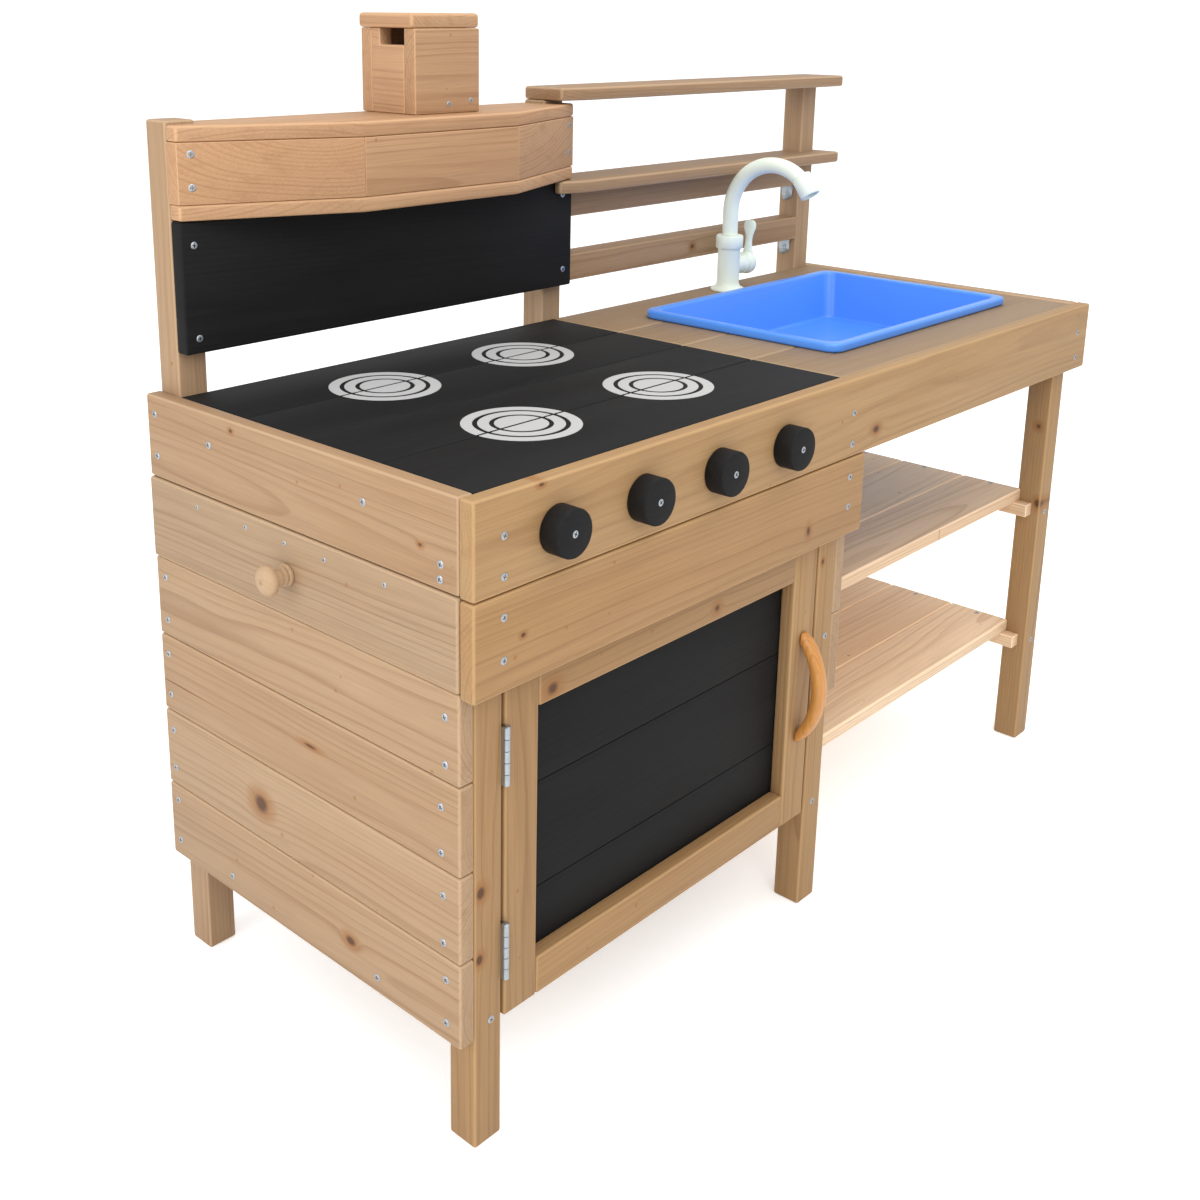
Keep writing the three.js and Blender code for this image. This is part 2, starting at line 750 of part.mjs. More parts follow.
// ---- Pull-out leaf ----
function buildLeaf() {
  const top = counterHeight - sidePitch;
  const frontX0 = -leafProud;
  const frontX1 = frontX0 + board;
  add(
    "leaf_front",
    block([frontX0, frontPostY, top - boardWidth], [frontX1, overallDepth, top]),
    sideWood,
  );

  const innerY0 = frontPostY + post + touch;
  const innerY1 = backPostY - touch;
  const panelX0 = frontX1 + touch;
  const sideClear = 2;
  const stripMargin = cleat + 4;
  const strips = [90, leafLength - 60].map((x) => [
    panelX0 + x,
    panelX0 + x + cleat,
    innerY0 + stripMargin,
    innerY1 - stripMargin,
  ]);
  const panelX1 = panelX0 + leafLength;
  const panel = deck(panelX0, panelX1, innerY0 + sideClear, innerY1 - sideClear, leafPanelTop, strips);
  add("leaf_panel", panel, sideWood);

  const runnerTop = leafPanelTop - board - touch;
  const runner = (y) =>
    block([board + touch, y, runnerTop - cleat], [cabinetPostX + post, y + cleat, runnerTop]);
  const stop = block(
    [cabinetPostX - cleat, innerY0, runnerTop - cleat],
    [cabinetPostX, innerY1, runnerTop],
  );
  add("leaf_runners", join(runner(innerY0), runner(innerY1 - cleat), stop), sideWood);

  const knob = turned([
    [0, 0],
    [10, 0],
    [10, 3],
    [7.5, 5],
    [8.5, 8],
    [7, 11],
    [7, 14],
    [13.5, 17],
    [15.5, 21],
    [15, 25],
    [11, 29],
    [0, 31],
  ]);
  knob.rotateY(-Math.PI / 2);
  knob.translate(frontX0 - touch, (frontPostY + overallDepth) / 2, top - boardWidth / 2);
  add("leaf_knob", knob, sideWood);
}

buildPosts();
buildCarcass();
buildCounter();
buildShelves();
buildDoor();
buildHinges();
buildHood();
buildChimney();
buildWall();
buildBasin();
buildTap();
buildHobKnobs();
buildLeaf();

// The origin is the middle of the footprint, on the floor.
kitchen.updateMatrixWorld(true);
const bounds = new THREE.Box3().setFromObject(kitchen);
const middle = bounds.getCenter(new THREE.Vector3());
const part = new THREE.Group();
kitchen.position.set(-middle.x, -middle.y, -bounds.min.z);
part.add(kitchen);

export default part;
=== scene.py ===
import json
import math
import random

import bpy
from mathutils import Matrix, Vector


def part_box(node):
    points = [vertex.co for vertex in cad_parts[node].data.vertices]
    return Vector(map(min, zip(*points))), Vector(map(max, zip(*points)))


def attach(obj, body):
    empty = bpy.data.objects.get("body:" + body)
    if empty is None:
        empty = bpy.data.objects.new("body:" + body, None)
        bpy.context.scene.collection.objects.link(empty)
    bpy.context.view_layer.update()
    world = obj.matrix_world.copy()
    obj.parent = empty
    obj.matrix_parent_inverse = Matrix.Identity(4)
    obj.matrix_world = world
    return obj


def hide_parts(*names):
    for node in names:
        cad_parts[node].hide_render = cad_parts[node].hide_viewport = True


mm = 0.001
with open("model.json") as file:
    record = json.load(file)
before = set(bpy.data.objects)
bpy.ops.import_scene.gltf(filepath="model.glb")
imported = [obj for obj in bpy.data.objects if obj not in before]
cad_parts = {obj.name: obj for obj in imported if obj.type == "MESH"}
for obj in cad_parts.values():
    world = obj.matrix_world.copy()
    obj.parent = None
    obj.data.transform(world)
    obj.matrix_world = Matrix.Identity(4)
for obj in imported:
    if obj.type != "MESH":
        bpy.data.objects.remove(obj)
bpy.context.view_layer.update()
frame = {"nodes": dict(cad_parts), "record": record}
nodes = frame["nodes"]
print("frame loaded:", len(nodes), "nodes")

# The row's origin is the middle of the footprint. Places below are measured from the
# left face of the side boards, the front face of the apron and the floor.
apronLow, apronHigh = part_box("front_apron")
corner = Vector((apronLow.x, apronLow.y, 0))


def place(x, y, z):
    return corner + Vector((x, y, z)) * mm


view = {
    "from": (-775.34, -800.71, 1048.20),
    "right": (0.689780, -0.723960, 0.009236),
    "up": (0.182799, 0.186483, 0.965303),
    "lens": 43.264,
    "shiftX": 0.0559,
    "shiftY": -0.1664,
}


def addCamera():
    right = Vector(view["right"]).normalized()
    up = Vector(view["up"]).normalized()
    back = right.cross(up)
    camera = bpy.data.objects.new("camera", bpy.data.cameras.new("camera"))
    bpy.context.scene.collection.objects.link(camera)
    turn = Matrix((right, up, back)).transposed().to_4x4()
    camera.matrix_world = Matrix.Translation(place(*view["from"])) @ turn
    camera.data.sensor_width = 36
    camera.data.lens = view["lens"]
    camera.data.shift_x = view["shiftX"]
    camera.data.shift_y = view["shiftY"]
    camera.data.clip_end = 50
    bpy.context.scene.camera = camera


studio = {
    "floorColour": (0.95, 0.95, 0.95),
    "floorLift": 0.40,
    "floorSize": 60,
    "skyStrength": 0.85,
    "backdropLift": 0.4,  # added for the camera only, so the paper stays white
    "aim": (0, 0, 0.4),
    "lamps": [
        # name, place in metres, size, watts
        ("keyLamp", (-2.0, -2.8, 3.2), 2.6, 62),
        ("topLamp", (0.6, -0.4, 3.6), 2.4, 34),
        ("sideLamp", (-3.4, 0.2, 1.7), 2.2, 38),
    ],
}


def addStudio():
    world = bpy.data.worlds.new("studioSky")
    world.use_nodes = True
    sky = world.node_tree.nodes["Background"]
    sky.inputs["Color"].default_value = (1, 1, 1, 1)
    seen = put(world.node_tree, "ShaderNodeLightPath").outputs["Is Camera Ray"]
    lift = calc(world.node_tree, "MULTIPLY", seen, studio["backdropLift"])
    strength = calc(world.node_tree, "ADD", lift, studio["skyStrength"])
    world.node_tree.links.new(strength, sky.inputs["Strength"])
    bpy.context.scene.world = world
    bpy.context.scene.view_settings.view_transform = "Standard"
    for name, spot, size, watts in studio["lamps"]:
        lamp = bpy.data.lights.new(name, "AREA")
        lamp.size = size
        lamp.energy = watts
        lampObject = bpy.data.objects.new(name, lamp)
        lampObject.location = spot
        aim = Vector(studio["aim"]) - Vector(spot)
        lampObject.rotation_euler = aim.to_track_quat("-Z", "Y").to_euler()
        bpy.context.scene.collection.objects.link(lampObject)
    deselect()
    bpy.ops.mesh.primitive_plane_add(size=studio["floorSize"])
    floor = bpy.context.object
    floor.name = "studioFloor"
    paper = plainPaint("floorPaper", studio["floorColour"], 0.9)
    tree = paper.node_tree
    shader = tree.nodes["Principled BSDF"]
    seen = put(tree, "ShaderNodeLightPath").outputs["Is Camera Ray"]
    lift = calc(tree, "MULTIPLY", seen, studio["floorLift"])
    tree.links.new(lift, shader.inputs["Emission Strength"])
    shader.inputs["Emission Color"].default_value = (1, 1, 1, 1)
    floor.data.materials.append(paper)
    print("studio done")


def newMaterial(name):
    material = bpy.data.materials.new(name)
    material.use_nodes = True
    tree = material.node_tree
    return material, tree, tree.nodes["Principled BSDF"]


# Adds a node. An input called i0, i1 or i2 is given by its number, any other by its name.
def put(tree, kind, settings=None, **inputs):
    node = tree.nodes.new(kind)
    for key, value in (settings or {}).items():
        setattr(node, key, value)
    for key, value in inputs.items():
        numbered = key[0] == "i" and key[1:].isdigit()
        socket = node.inputs[int(key[1:])] if numbered else node.inputs[key]
        if isinstance(value, bpy.types.NodeSocket):
            tree.links.new(value, socket)
        else:
            socket.default_value = value
    return node


def calc(tree, operation, *values):
    node = put(tree, "ShaderNodeMath", {"operation": operation})
    for index, value in enumerate(values):
        if isinstance(value, bpy.types.NodeSocket):
            tree.links.new(value, node.inputs[index])
        else:
            node.inputs[index].default_value = value
    return node.outputs[0]


def noise(tree, vector, scale, detail=2, roughness=0.5):
    inputs = {"Vector": vector, "Scale": scale, "Detail": detail, "Roughness": roughness}
    return put(tree, "ShaderNodeTexNoise", None, **inputs).outputs["Fac"]


def stretch(tree, vector, scale):
    node = put(tree, "ShaderNodeMapping", None, Vector=vector)
    node.inputs["Scale"].default_value = scale
    return node.outputs[0]


def ramp(tree, fac, stops):
    node = put(tree, "ShaderNodeValToRGB", None, Fac=fac)
    elements = node.color_ramp.elements
    while len(elements) < len(stops):
        elements.new(0.5)
    for element, (position, colour) in zip(elements, stops):
        element.position = position
        element.color = (*colour, 1)
    return node.outputs["Color"]


def blend(tree, fac, first, second, mode="MIX"):
    node = put(tree, "ShaderNodeMix", {"data_type": "RGBA", "blend_type": mode})
    for index, value in ((0, fac), (6, first), (7, second)):
        if isinstance(value, bpy.types.NodeSocket):
            tree.links.new(value, node.inputs[index])
        else:
            node.inputs[index].default_value = value if index == 0 else (*value, 1)
    return node.outputs[2]


def squareSum(tree, first, second):
    firstSquare = calc(tree, "MULTIPLY", first, first)
    return calc(tree, "ADD", firstSquare, calc(tree, "MULTIPLY", second, second))


# A noise centred on nothing: from 0..1 to plus or minus half of the amount.
def swing(tree, fac, amount):
    return calc(tree, "MULTIPLY", calc(tree, "SUBTRACT", fac, 0.5), amount)


def spread(tree, value, before, after, smooth=False):
    settings = {"interpolation_type": "SMOOTHSTEP"} if smooth else None
    node = put(tree, "ShaderNodeMapRange", settings, Value=value)
    for socket, number in zip(("From Min", "From Max", "To Min", "To Max"), (*before, *after)):
        node.inputs[socket].default_value = number
    return node.outputs[0]


def addBump(tree, shader, height, strength, distance):
    bump = put(tree, "ShaderNodeBump", None, Height=height, Strength=strength, Distance=distance)
    tree.links.new(bump.outputs[0], shader.inputs["Normal"])


def plainPaint(name, colour, roughness, metallic=0.0):
    material, tree, shader = newMaterial(name)
    shader.inputs["Base Color"].default_value = (*colour, 1)
    shader.inputs["Roughness"].default_value = roughness
    shader.inputs["Metallic"].default_value = metallic
    return material


# Each board carries a "grain" attribute: its own coordinates, X along the grain, Y and Z
# across it, measured from the heart of the tree it was sawn from. "tone" is the board's
# shade from 0 to 1, "rim" is 1 on its rounded edges, and "knotA" and "knotB" are the
# places relative to its knots.
timber = {
    "ringPitch": 0.0042,
    "ringWander": 0.010,
    "side": {
        "pale": (0.418, 0.289, 0.176),
        "dark": (0.249, 0.134, 0.062),
        "warm": (0.356, 0.209, 0.107),
    },
    "front": {
        "pale": (0.405, 0.253, 0.118),
        "dark": (0.238, 0.119, 0.044),
        "warm": (0.352, 0.191, 0.077),
    },
    "hood": {
        "pale": (0.514, 0.310, 0.170),
        "dark": (0.300, 0.148, 0.065),
        "warm": (0.460, 0.248, 0.121),
    },
    "deck": {
        "pale": (0.342, 0.244, 0.150),
        "dark": (0.216, 0.124, 0.060),
        "warm": (0.297, 0.189, 0.103),
    },
    # painted light: the shelves inside the cabinet get a much paler copy of the cedar,
    # brightening them where the cabinet shades them
    "shelf": {
        "pale": (0.858, 0.649, 0.445),
        "dark": (0.506, 0.303, 0.159),
        "warm": (0.748, 0.501, 0.307),
    },
    "ripple": 0.003,
    "lateWood": (0.45, 0.92),  # share of a ring over which it darkens
    "ringEnd": 0.93,
    "ringInk": 0.60,
    "streakInk": 0.45,
    "fibreShade": (0.84, 1.09),
    "boardShade": (0.92, 0.14),
    "roughness": (0.48, 0.66),
    "sheen": 0.35,
    "bump": (0.22, 0.0006),
    # how much lighter the rounded edges are painted: partly wear, partly a painted highlight
    "rimLight": 1.32,
    "rimInk": 0.55,
    "knotHalo": (0.297, 0.127, 0.037),
    "knotHeart": (0.066, 0.024, 0.010),
    "pinKnotCell": 15,
    "pinKnotInk": 0.6,
}


def woodMaterial(name, look):
    material, tree, shader = newMaterial(name)
    grain = put(tree, "ShaderNodeAttribute", {"attribute_name": "grain"}).outputs["Vector"]
    tone = put(tree, "ShaderNodeAttribute", {"attribute_name": "tone"}).outputs["Fac"]
    parts = put(tree, "ShaderNodeSeparateXYZ", None, Vector=grain)
    along, across, depth = parts.outputs
    # knots push the rings aside
    knotCore = 9.0  # far from any knot
    push = 0.0
    for spot in ("knotA", "knotB"):
        knotPlace = put(tree, "ShaderNodeAttribute", {"attribute_name": spot}).outputs["Vector"]
        dx, dy, strength = put(tree, "ShaderNodeSeparateXYZ", None, Vector=knotPlace).outputs
        squared = squareSum(tree, dx, dy)
        away = calc(tree, "SQRT", squared)
        nudge = calc(tree, "DIVIDE", strength, calc(tree, "ADD", squared, 1))
        push = calc(tree, "ADD", push, nudge)
        knotCore = calc(tree, "MINIMUM", knotCore, away)
    drift = noise(tree, stretch(tree, grain, (1.6, 9, 9)), 1, 2)
    ripple = noise(tree, stretch(tree, grain, (5, 40, 40)), 1, 2)
    radius = calc(tree, "SQRT", squareSum(tree, across, depth))
    wander = swing(tree, drift, timber["ringWander"] * 2)
    wander = calc(tree, "ADD", wander, swing(tree, ripple, timber["ripple"]))
    radius = calc(tree, "ADD", radius, wander)
    radius = calc(tree, "ADD", radius, push)
    rings = calc(tree, "DIVIDE", radius, timber["ringPitch"])
    phase = calc(tree, "FRACT", rings)
    count = calc(tree, "FLOOR", rings)
    dice = put(tree, "ShaderNodeTexWhiteNoise", {"noise_dimensions": "1D"}, W=count)
    ringNoise = dice.outputs["Value"]
    late = spread(tree, phase, timber["lateWood"], (0, 1), smooth=True)
    fall = spread(tree, phase, (timber["ringEnd"], 1.0), (1, 0), smooth=True)
    band = calc(tree, "MULTIPLY", late, fall)
    ringInk = calc(tree, "ADD", calc(tree, "MULTIPLY", ringNoise, 0.75), 0.12)
    band = calc(tree, "MULTIPLY", band, ringInk)
    fibre = noise(tree, stretch(tree, grain, (14, 900, 900)), 1, 3, 0.6)
    streak = noise(tree, stretch(tree, grain, (2.2, 90, 90)), 1, 3, 0.55)
    cloud = noise(tree, stretch(tree, grain, (3, 16, 16)), 1, 2)
    cloudy, toned = calc(tree, "MULTIPLY", cloud, 0.9), calc(tree, "MULTIPLY", tone, 0.55)
    warmth = calc(tree, "ADD", cloudy, toned)
    warmth = calc(tree, "SUBTRACT", warmth, 0.3)
    warm = put(tree, "ShaderNodeClamp", None, Value=warmth).outputs[0]
    colour = blend(tree, warm, look["pale"], look["warm"])
    colour = blend(tree, calc(tree, "MULTIPLY", band, timber["ringInk"]), colour, look["dark"])
    lines = spread(tree, streak, (0.5, 0.85), (0, 1))
    colour = blend(tree, calc(tree, "MULTIPLY", lines, timber["streakInk"]), colour, look["dark"])
    speck = spread(tree, fibre, (0.25, 0.75), timber["fibreShade"])
    boardShade = calc(tree, "FRACT", calc(tree, "MULTIPLY", tone, 7.31))
    lowest, extra = timber["boardShade"]
    boardShade = calc(tree, "ADD", calc(tree, "MULTIPLY", boardShade, extra), lowest)
    speck = calc(tree, "MULTIPLY", speck, boardShade)
    shade = put(tree, "ShaderNodeCombineXYZ", None, i0=speck, i1=speck, i2=speck).outputs[0]
    colour = blend(tree, 1.0, colour, shade, "MULTIPLY")
    # small dark pin knots scattered over every board
    cell = timber["pinKnotCell"]
    flat = {"voronoi_dimensions": "2D"}
    pins = put(tree, "ShaderNodeTexVoronoi", flat, Vector=grain, Scale=cell)
    keep = put(tree, "ShaderNodeSeparateColor", None, Color=pins.outputs["Color"]).outputs[0]
    size = calc(tree, "MULTIPLY", calc(tree, "SUBTRACT", keep, 0.55), 0.085)
    pinFac = calc(tree, "LESS_THAN", pins.outputs["Distance"], size)
    pinInk = calc(tree, "MULTIPLY", pinFac, timber["pinKnotInk"])
    colour = blend(tree, pinInk, colour, timber["knotHalo"])
    edge = calc(tree, "ADD", knotCore, swing(tree, ripple, 0.9))
    halo = ramp(tree, calc(tree, "MULTIPLY", edge, 0.4), [(0.34, (1, 1, 1)), (0.80, (0, 0, 0))])
    colour = blend(tree, calc(tree, "MULTIPLY", halo, 0.72), colour, timber["knotHalo"])
    heart = ramp(tree, calc(tree, "MULTIPLY", edge, 0.5), [(0.18, (1, 1, 1)), (0.42, (0, 0, 0))])
    colour = blend(tree, calc(tree, "MULTIPLY", heart, 0.85), colour, timber["knotHeart"])
    # The rounded edges are painted lighter: partly wear on the edges, partly a painted highlight
    # where they catch the light.
    rim = put(tree, "ShaderNodeAttribute", {"attribute_name": "rim"}).outputs["Fac"]
    wornAndHighlit = tuple(c * timber["rimLight"] for c in look["pale"])
    colour = blend(tree, calc(tree, "MULTIPLY", rim, timber["rimInk"]), colour, wornAndHighlit)
    tree.links.new(colour, shader.inputs["Base Color"])
    tree.links.new(spread(tree, fibre, (0, 1), timber["roughness"]), shader.inputs["Roughness"])
    shader.inputs["Specular IOR Level"].default_value = timber["sheen"]
    raised, sunk = calc(tree, "MULTIPLY", fibre, 0.6), calc(tree, "MULTIPLY", band, -0.5)
    addBump(tree, shader, calc(tree, "ADD", raised, sunk), *timber["bump"])
    return material


stain = {
    "ringPitch": 0.0052,
    "ringWander": 0.02,
    "ringInk": 0.10,
    "sheen": 0.22,
    "bump": (0.25, 0.0006),
}


def blackStain(name, base, lighter, roughness):
    material, tree, shader = newMaterial(name)
    grain = put(tree, "ShaderNodeAttribute", {"attribute_name": "grain"}).outputs["Vector"]
    parts = put(tree, "ShaderNodeSeparateXYZ", None, Vector=grain)
    across, depth = parts.outputs[1], parts.outputs[2]
    drift = noise(tree, stretch(tree, grain, (1.8, 12, 12)), 1, 2)
    wander = calc(tree, "MULTIPLY", drift, stain["ringWander"])
    radius = calc(tree, "ADD", calc(tree, "SQRT", squareSum(tree, across, depth)), wander)
    phase = calc(tree, "FRACT", calc(tree, "DIVIDE", radius, stain["ringPitch"]))
    fibre = noise(tree, stretch(tree, grain, (10, 700, 700)), 1, 3, 0.6)
    cloud = noise(tree, stretch(tree, grain, (4, 22, 22)), 1, 3)
    fine, broad = calc(tree, "MULTIPLY", fibre, 0.55), calc(tree, "MULTIPLY", cloud, 0.55)
    mixed = calc(tree, "ADD", fine, broad)
    mixed = calc(tree, "ADD", mixed, calc(tree, "MULTIPLY", phase, stain["ringInk"]))
    colour = ramp(tree, mixed, [(0.35, base), (0.85, lighter)])
    tree.links.new(colour, shader.inputs["Base Color"])
    rough = spread(tree, fibre, (0, 1), (roughness - 0.08, roughness + 0.10))
    tree.links.new(rough, shader.inputs["Roughness"])
    shader.inputs["Specular IOR Level"].default_value = stain["sheen"]
    addBump(tree, shader, mixed, *stain["bump"])
    return material


def moulded(name, colour, roughness):
    material, tree, shader = newMaterial(name)
    spot = put(tree, "ShaderNodeTexCoord").outputs["Object"]
    mottle = noise(tree, spot, 9, 3)
    fine = noise(tree, spot, 420, 2)
    tint = blend(tree, mottle, colour, tuple(c * 0.93 for c in colour))
    tree.links.new(tint, shader.inputs["Base Color"])
    rough = spread(tree, mottle, (0, 1), (roughness - 0.05, roughness + 0.07))
    tree.links.new(rough, shader.inputs["Roughness"])
    addBump(tree, shader, fine, 0.06, 0.0002)
    return material


def zincPlate(name, colour, roughness):
    material, tree, shader = newMaterial(name)
    spot = put(tree, "ShaderNodeTexCoord").outputs["Object"]
    mottle = noise(tree, spot, 260, 3)
    tint = blend(tree, mottle, colour, tuple(c * 0.75 for c in colour))
    tree.links.new(tint, shader.inputs["Base Color"])
    shader.inputs["Metallic"].default_value = 1.0
    rough = spread(tree, mottle, (0, 1), (roughness - 0.07, roughness + 0.12))
    tree.links.new(rough, shader.inputs["Roughness"])
    addBump(tree, shader, mottle, 0.1, 0.0001)
    return material


finishes = {
    "black": ((0.0028, 0.0028, 0.003), (0.0115, 0.0115, 0.012), 0.70),
    "knobBlack": ((0.003, 0.003, 0.0033), (0.011, 0.011, 0.0115), 0.66),
    "blue": ((0.085, 0.30, 0.92), 0.28),
    "ivory": ((0.84, 0.92, 0.81), 0.34),
    "zinc": ((0.50, 0.55, 0.60), 0.36),
    "burnerWhite": ((0.53, 0.53, 0.53), 0.5),
    "varnishCoat": 0.6,
    "handle": {
        "pale": (0.63, 0.290, 0.065),
        "dark": (0.40, 0.142, 0.026),
        "warm": (0.56, 0.232, 0.047),
    },
}


def makeFinishes():
    made = {
        "side": woodMaterial("cedarSide", timber["side"]),
        "front": woodMaterial("cedarFront", timber["front"]),
        "deck": woodMaterial("cedarDeck", timber["deck"]),
        # the shelves take the paler cedar, painted light for the inside of the cabinet
        "shelf": woodMaterial("cedarShelf", timber["shelf"]),
        "hood": woodMaterial("cedarHood", timber["hood"]),
        "handle": woodMaterial("varnishedHandle", finishes["handle"]),
        "black": blackStain("blackStain", *finishes["black"]),
        "knobBlack": blackStain("blackKnobPaint", *finishes["knobBlack"]),
        "blue": moulded("blueBasinPlastic", *finishes["blue"]),
        "ivory": moulded("ivoryTapPlastic", *finishes["ivory"]),
        "zinc": zincPlate("zincPlate", *finishes["zinc"]),
        "white": moulded("burnerPaint", *finishes["burnerWhite"]),
        # the cross recess of the screws is painted near black: painted shade inside the recess
        "recess": plainPaint("driverRecess", (0.03, 0.03, 0.032), 0.6, 0.6),
    }
    varnish = made["handle"].node_tree.nodes["Principled BSDF"]
    varnish.inputs["Coat Weight"].default_value = finishes["varnishCoat"]
    return made


def deselect():
    if bpy.context.object and bpy.context.object.mode != "OBJECT":
        bpy.ops.object.mode_set(mode="OBJECT")
    bpy.ops.object.select_all(action="DESELECT")


def pick(piece):
    deselect()
    piece.select_set(True)
    bpy.context.view_layer.objects.active = piece


def applyAll(piece):
    pick(piece)
    for modifier in list(piece.modifiers):
        bpy.ops.object.modifier_apply(modifier=modifier.name)
    bpy.ops.object.transform_apply(location=True, rotation=True, scale=True)


def smoothed(piece, degrees):
    pick(piece)
    bpy.ops.object.shade_smooth_by_angle(angle=math.radians(degrees))


# Ends the edit of a closed shape.
def faceOutwards():
    bpy.ops.mesh.select_all(action="SELECT")
    bpy.ops.mesh.normals_make_consistent(inside=False)
    bpy.ops.object.mode_set(mode="OBJECT")


def rounded(piece, radius, segments=3, limit=35):
    bevel = piece.modifiers.new("roundedEdges", "BEVEL")
    bevel.width = radius
    bevel.segments = segments
    bevel.limit_method = "ANGLE"
    bevel.angle_limit = math.radians(limit)
    applyAll(piece)
    smoothed(piece, 40)
    return piece


def writeFloats(piece, name, values):
    piece.data.attributes.new(name, "FLOAT", "POINT").data.foreach_set("value", values)


def writeVectors(piece, name, values):
    piece.data.attributes.new(name, "FLOAT_VECTOR", "POINT").data.foreach_set("vector", values)


# 1 on the vertices inside a rounded edge, whose faces are all narrow strips.
def rimValues(piece):
    mesh = piece.data
    values = [1.0] * len(mesh.vertices)
    for face in mesh.polygons:
        spots = [mesh.vertices[v].co for v in face.vertices]
        reach = max((spots[n] - spots[n - 1]).length for n in range(len(spots)))
        if face.area > reach * 2.3 * mm:
            for v in face.vertices:
                values[v] = 0.0
    return values


# axis is the direction of the grain: 0, 1 or 2
def setGrain(piece, axis, heart=None, tone=None, marks=()):
    rng = random.Random(piece.name)
    cross = [a for a in range(3) if a != axis]
    low = [min(v.co[a] for v in piece.data.vertices) for a in range(3)]
    high = [max(v.co[a] for v in piece.data.vertices) for a in range(3)]
    middle = [(low[a] + high[a]) / 2 for a in range(3)]
    heart = heart or (rng.uniform(-0.05, 0.05), rng.choice((-1, 1)) * rng.uniform(0.035, 0.11))
    if high[cross[1]] - low[cross[1]] > high[cross[0]] - low[cross[0]]:  # wide face first
        cross.reverse()
    start = rng.uniform(-4, 4)
    tilt = rng.uniform(-0.035, 0.035)
    values = []
    for v in piece.data.vertices:
        along = v.co[axis] - middle[axis]
        across = v.co[cross[0]] - middle[cross[0]] + heart[0] + tilt * along
        depth = v.co[cross[1]] - middle[cross[1]] + heart[1]
        values += [start + along, across, depth]
    writeVectors(piece, "grain", values)
    shade = rng.random() if tone is None else tone
    writeFloats(piece, "tone", [shade] * len(piece.data.vertices))
    writeFloats(piece, "rim", rimValues(piece))
    for n, name in enumerate(("knotA", "knotB")):
        if n >= len(marks):
            writeVectors(piece, name, [50, 50, 0] * len(piece.data.vertices))
            continue
        spot, length, width, strength = marks[n]
        centre = place(*spot)
        # a knot runs through the board from the face that its place lies on
        gaps = {a: min(abs(centre[a] - low[a]), abs(centre[a] - high[a])) for a in cross}
        through = min(cross, key=lambda a: gaps[a])
        side = next(a for a in cross if a != through)
        values = []
        for v in piece.data.vertices:
            away = v.co - centre
            values += [away[axis] / (length * mm), away[side] / (width * mm), strength * mm]
        writeVectors(piece, name, values)


def longest(piece):
    size = piece.dimensions
    return max(range(3), key=lambda a: size[a])


def finishPiece(piece, material, body, slot, *replaced):
    piece.data.materials.clear()
    piece.data.materials.append(material)
    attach(piece, body)
    if replaced:
        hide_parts(*replaced)
    return piece


def block(name, low, high):
    deselect()
    low, high = Vector(low), Vector(high)
    bpy.ops.mesh.primitive_cube_add(size=1, location=(low + high) / 2)
    piece = bpy.context.object
    piece.name = name
    piece.scale = high - low
    bpy.ops.object.transform_apply(location=True, rotation=True, scale=True)
    return piece


# A board copied from its CAD node, with the edges that sanding leaves.
def boardFromNode(node, name, radius=None):
    source = nodes[node]
    piece = source.copy()
    piece.data = source.data.copy()
    piece.parent = None
    for key in list(piece.keys()):
        del piece[key]
    piece.name = name
    bpy.context.scene.collection.objects.link(piece)
    pick(piece)
    bpy.ops.object.mode_set(mode="EDIT")
    bpy.ops.mesh.select_all(action="SELECT")
    bpy.ops.mesh.remove_doubles(threshold=0.00002)
    bpy.ops.mesh.dissolve_limited(angle_limit=math.radians(1))
    bpy.ops.object.mode_set(mode="OBJECT")
    return rounded(piece, radius or sanding["board"])


def joined(name, pieces):
    deselect()
    for piece in pieces:
        piece.select_set(True)
    bpy.context.view_layer.objects.active = pieces[0]
    bpy.ops.object.join()
    pieces[0].name = name
    return pieces[0]


# A turned piece: a round face at its start is extruded section by section along +Z.
def turned(name, sections, start, direction, sides):
    deselect()
    radius, height = sections[0]
    circle = {"vertices": sides, "radius": radius, "location": (0, 0, height)}
    bpy.ops.mesh.primitive_circle_add(fill_type="NGON", **circle)
    piece = bpy.context.object
    piece.name = name
    bpy.ops.object.transform_apply(location=True)
    bpy.ops.object.mode_set(mode="EDIT")
    bpy.ops.mesh.select_all(action="SELECT")
    for nextRadius, nextHeight in sections[1:]:
        rise = {"value": (0, 0, nextHeight - height)}
        bpy.ops.mesh.extrude_region_move(TRANSFORM_OT_translate=rise)
        grow = nextRadius / radius
        bpy.ops.transform.resize(value=(grow, grow, 1), center_override=(0, 0, 0))
        radius, height = nextRadius, nextHeight
    faceOutwards()
    aim = Vector((0, 0, 1)).rotation_difference(Vector(direction))
    piece.matrix_world = Matrix.Translation(Vector(start)) @ aim.to_matrix().to_4x4()
    pick(piece)
    bpy.ops.object.transform_apply(location=True, rotation=True, scale=True)
    return piece


# radius of the rounded edges
sanding = {
    "board": 2.8 * mm,
    "post": 2.8 * mm,
    "shelf": 3.4 * mm,
    "hood": 3.0 * mm,
    "lid": 4.0 * mm,
    "strip": 1.5 * mm,
    "panel": 1.0 * mm,
    "handle": 5.5 * mm,
}

# Shade of the boards that differ: 0 is pale and grey, 1 is orange.
tones = {
    "left_top_rail": 0.95,
    "leaf_front": 0.02,
    "left_side_board_1": 0.40,
    "left_side_board_3": 0.26,
}

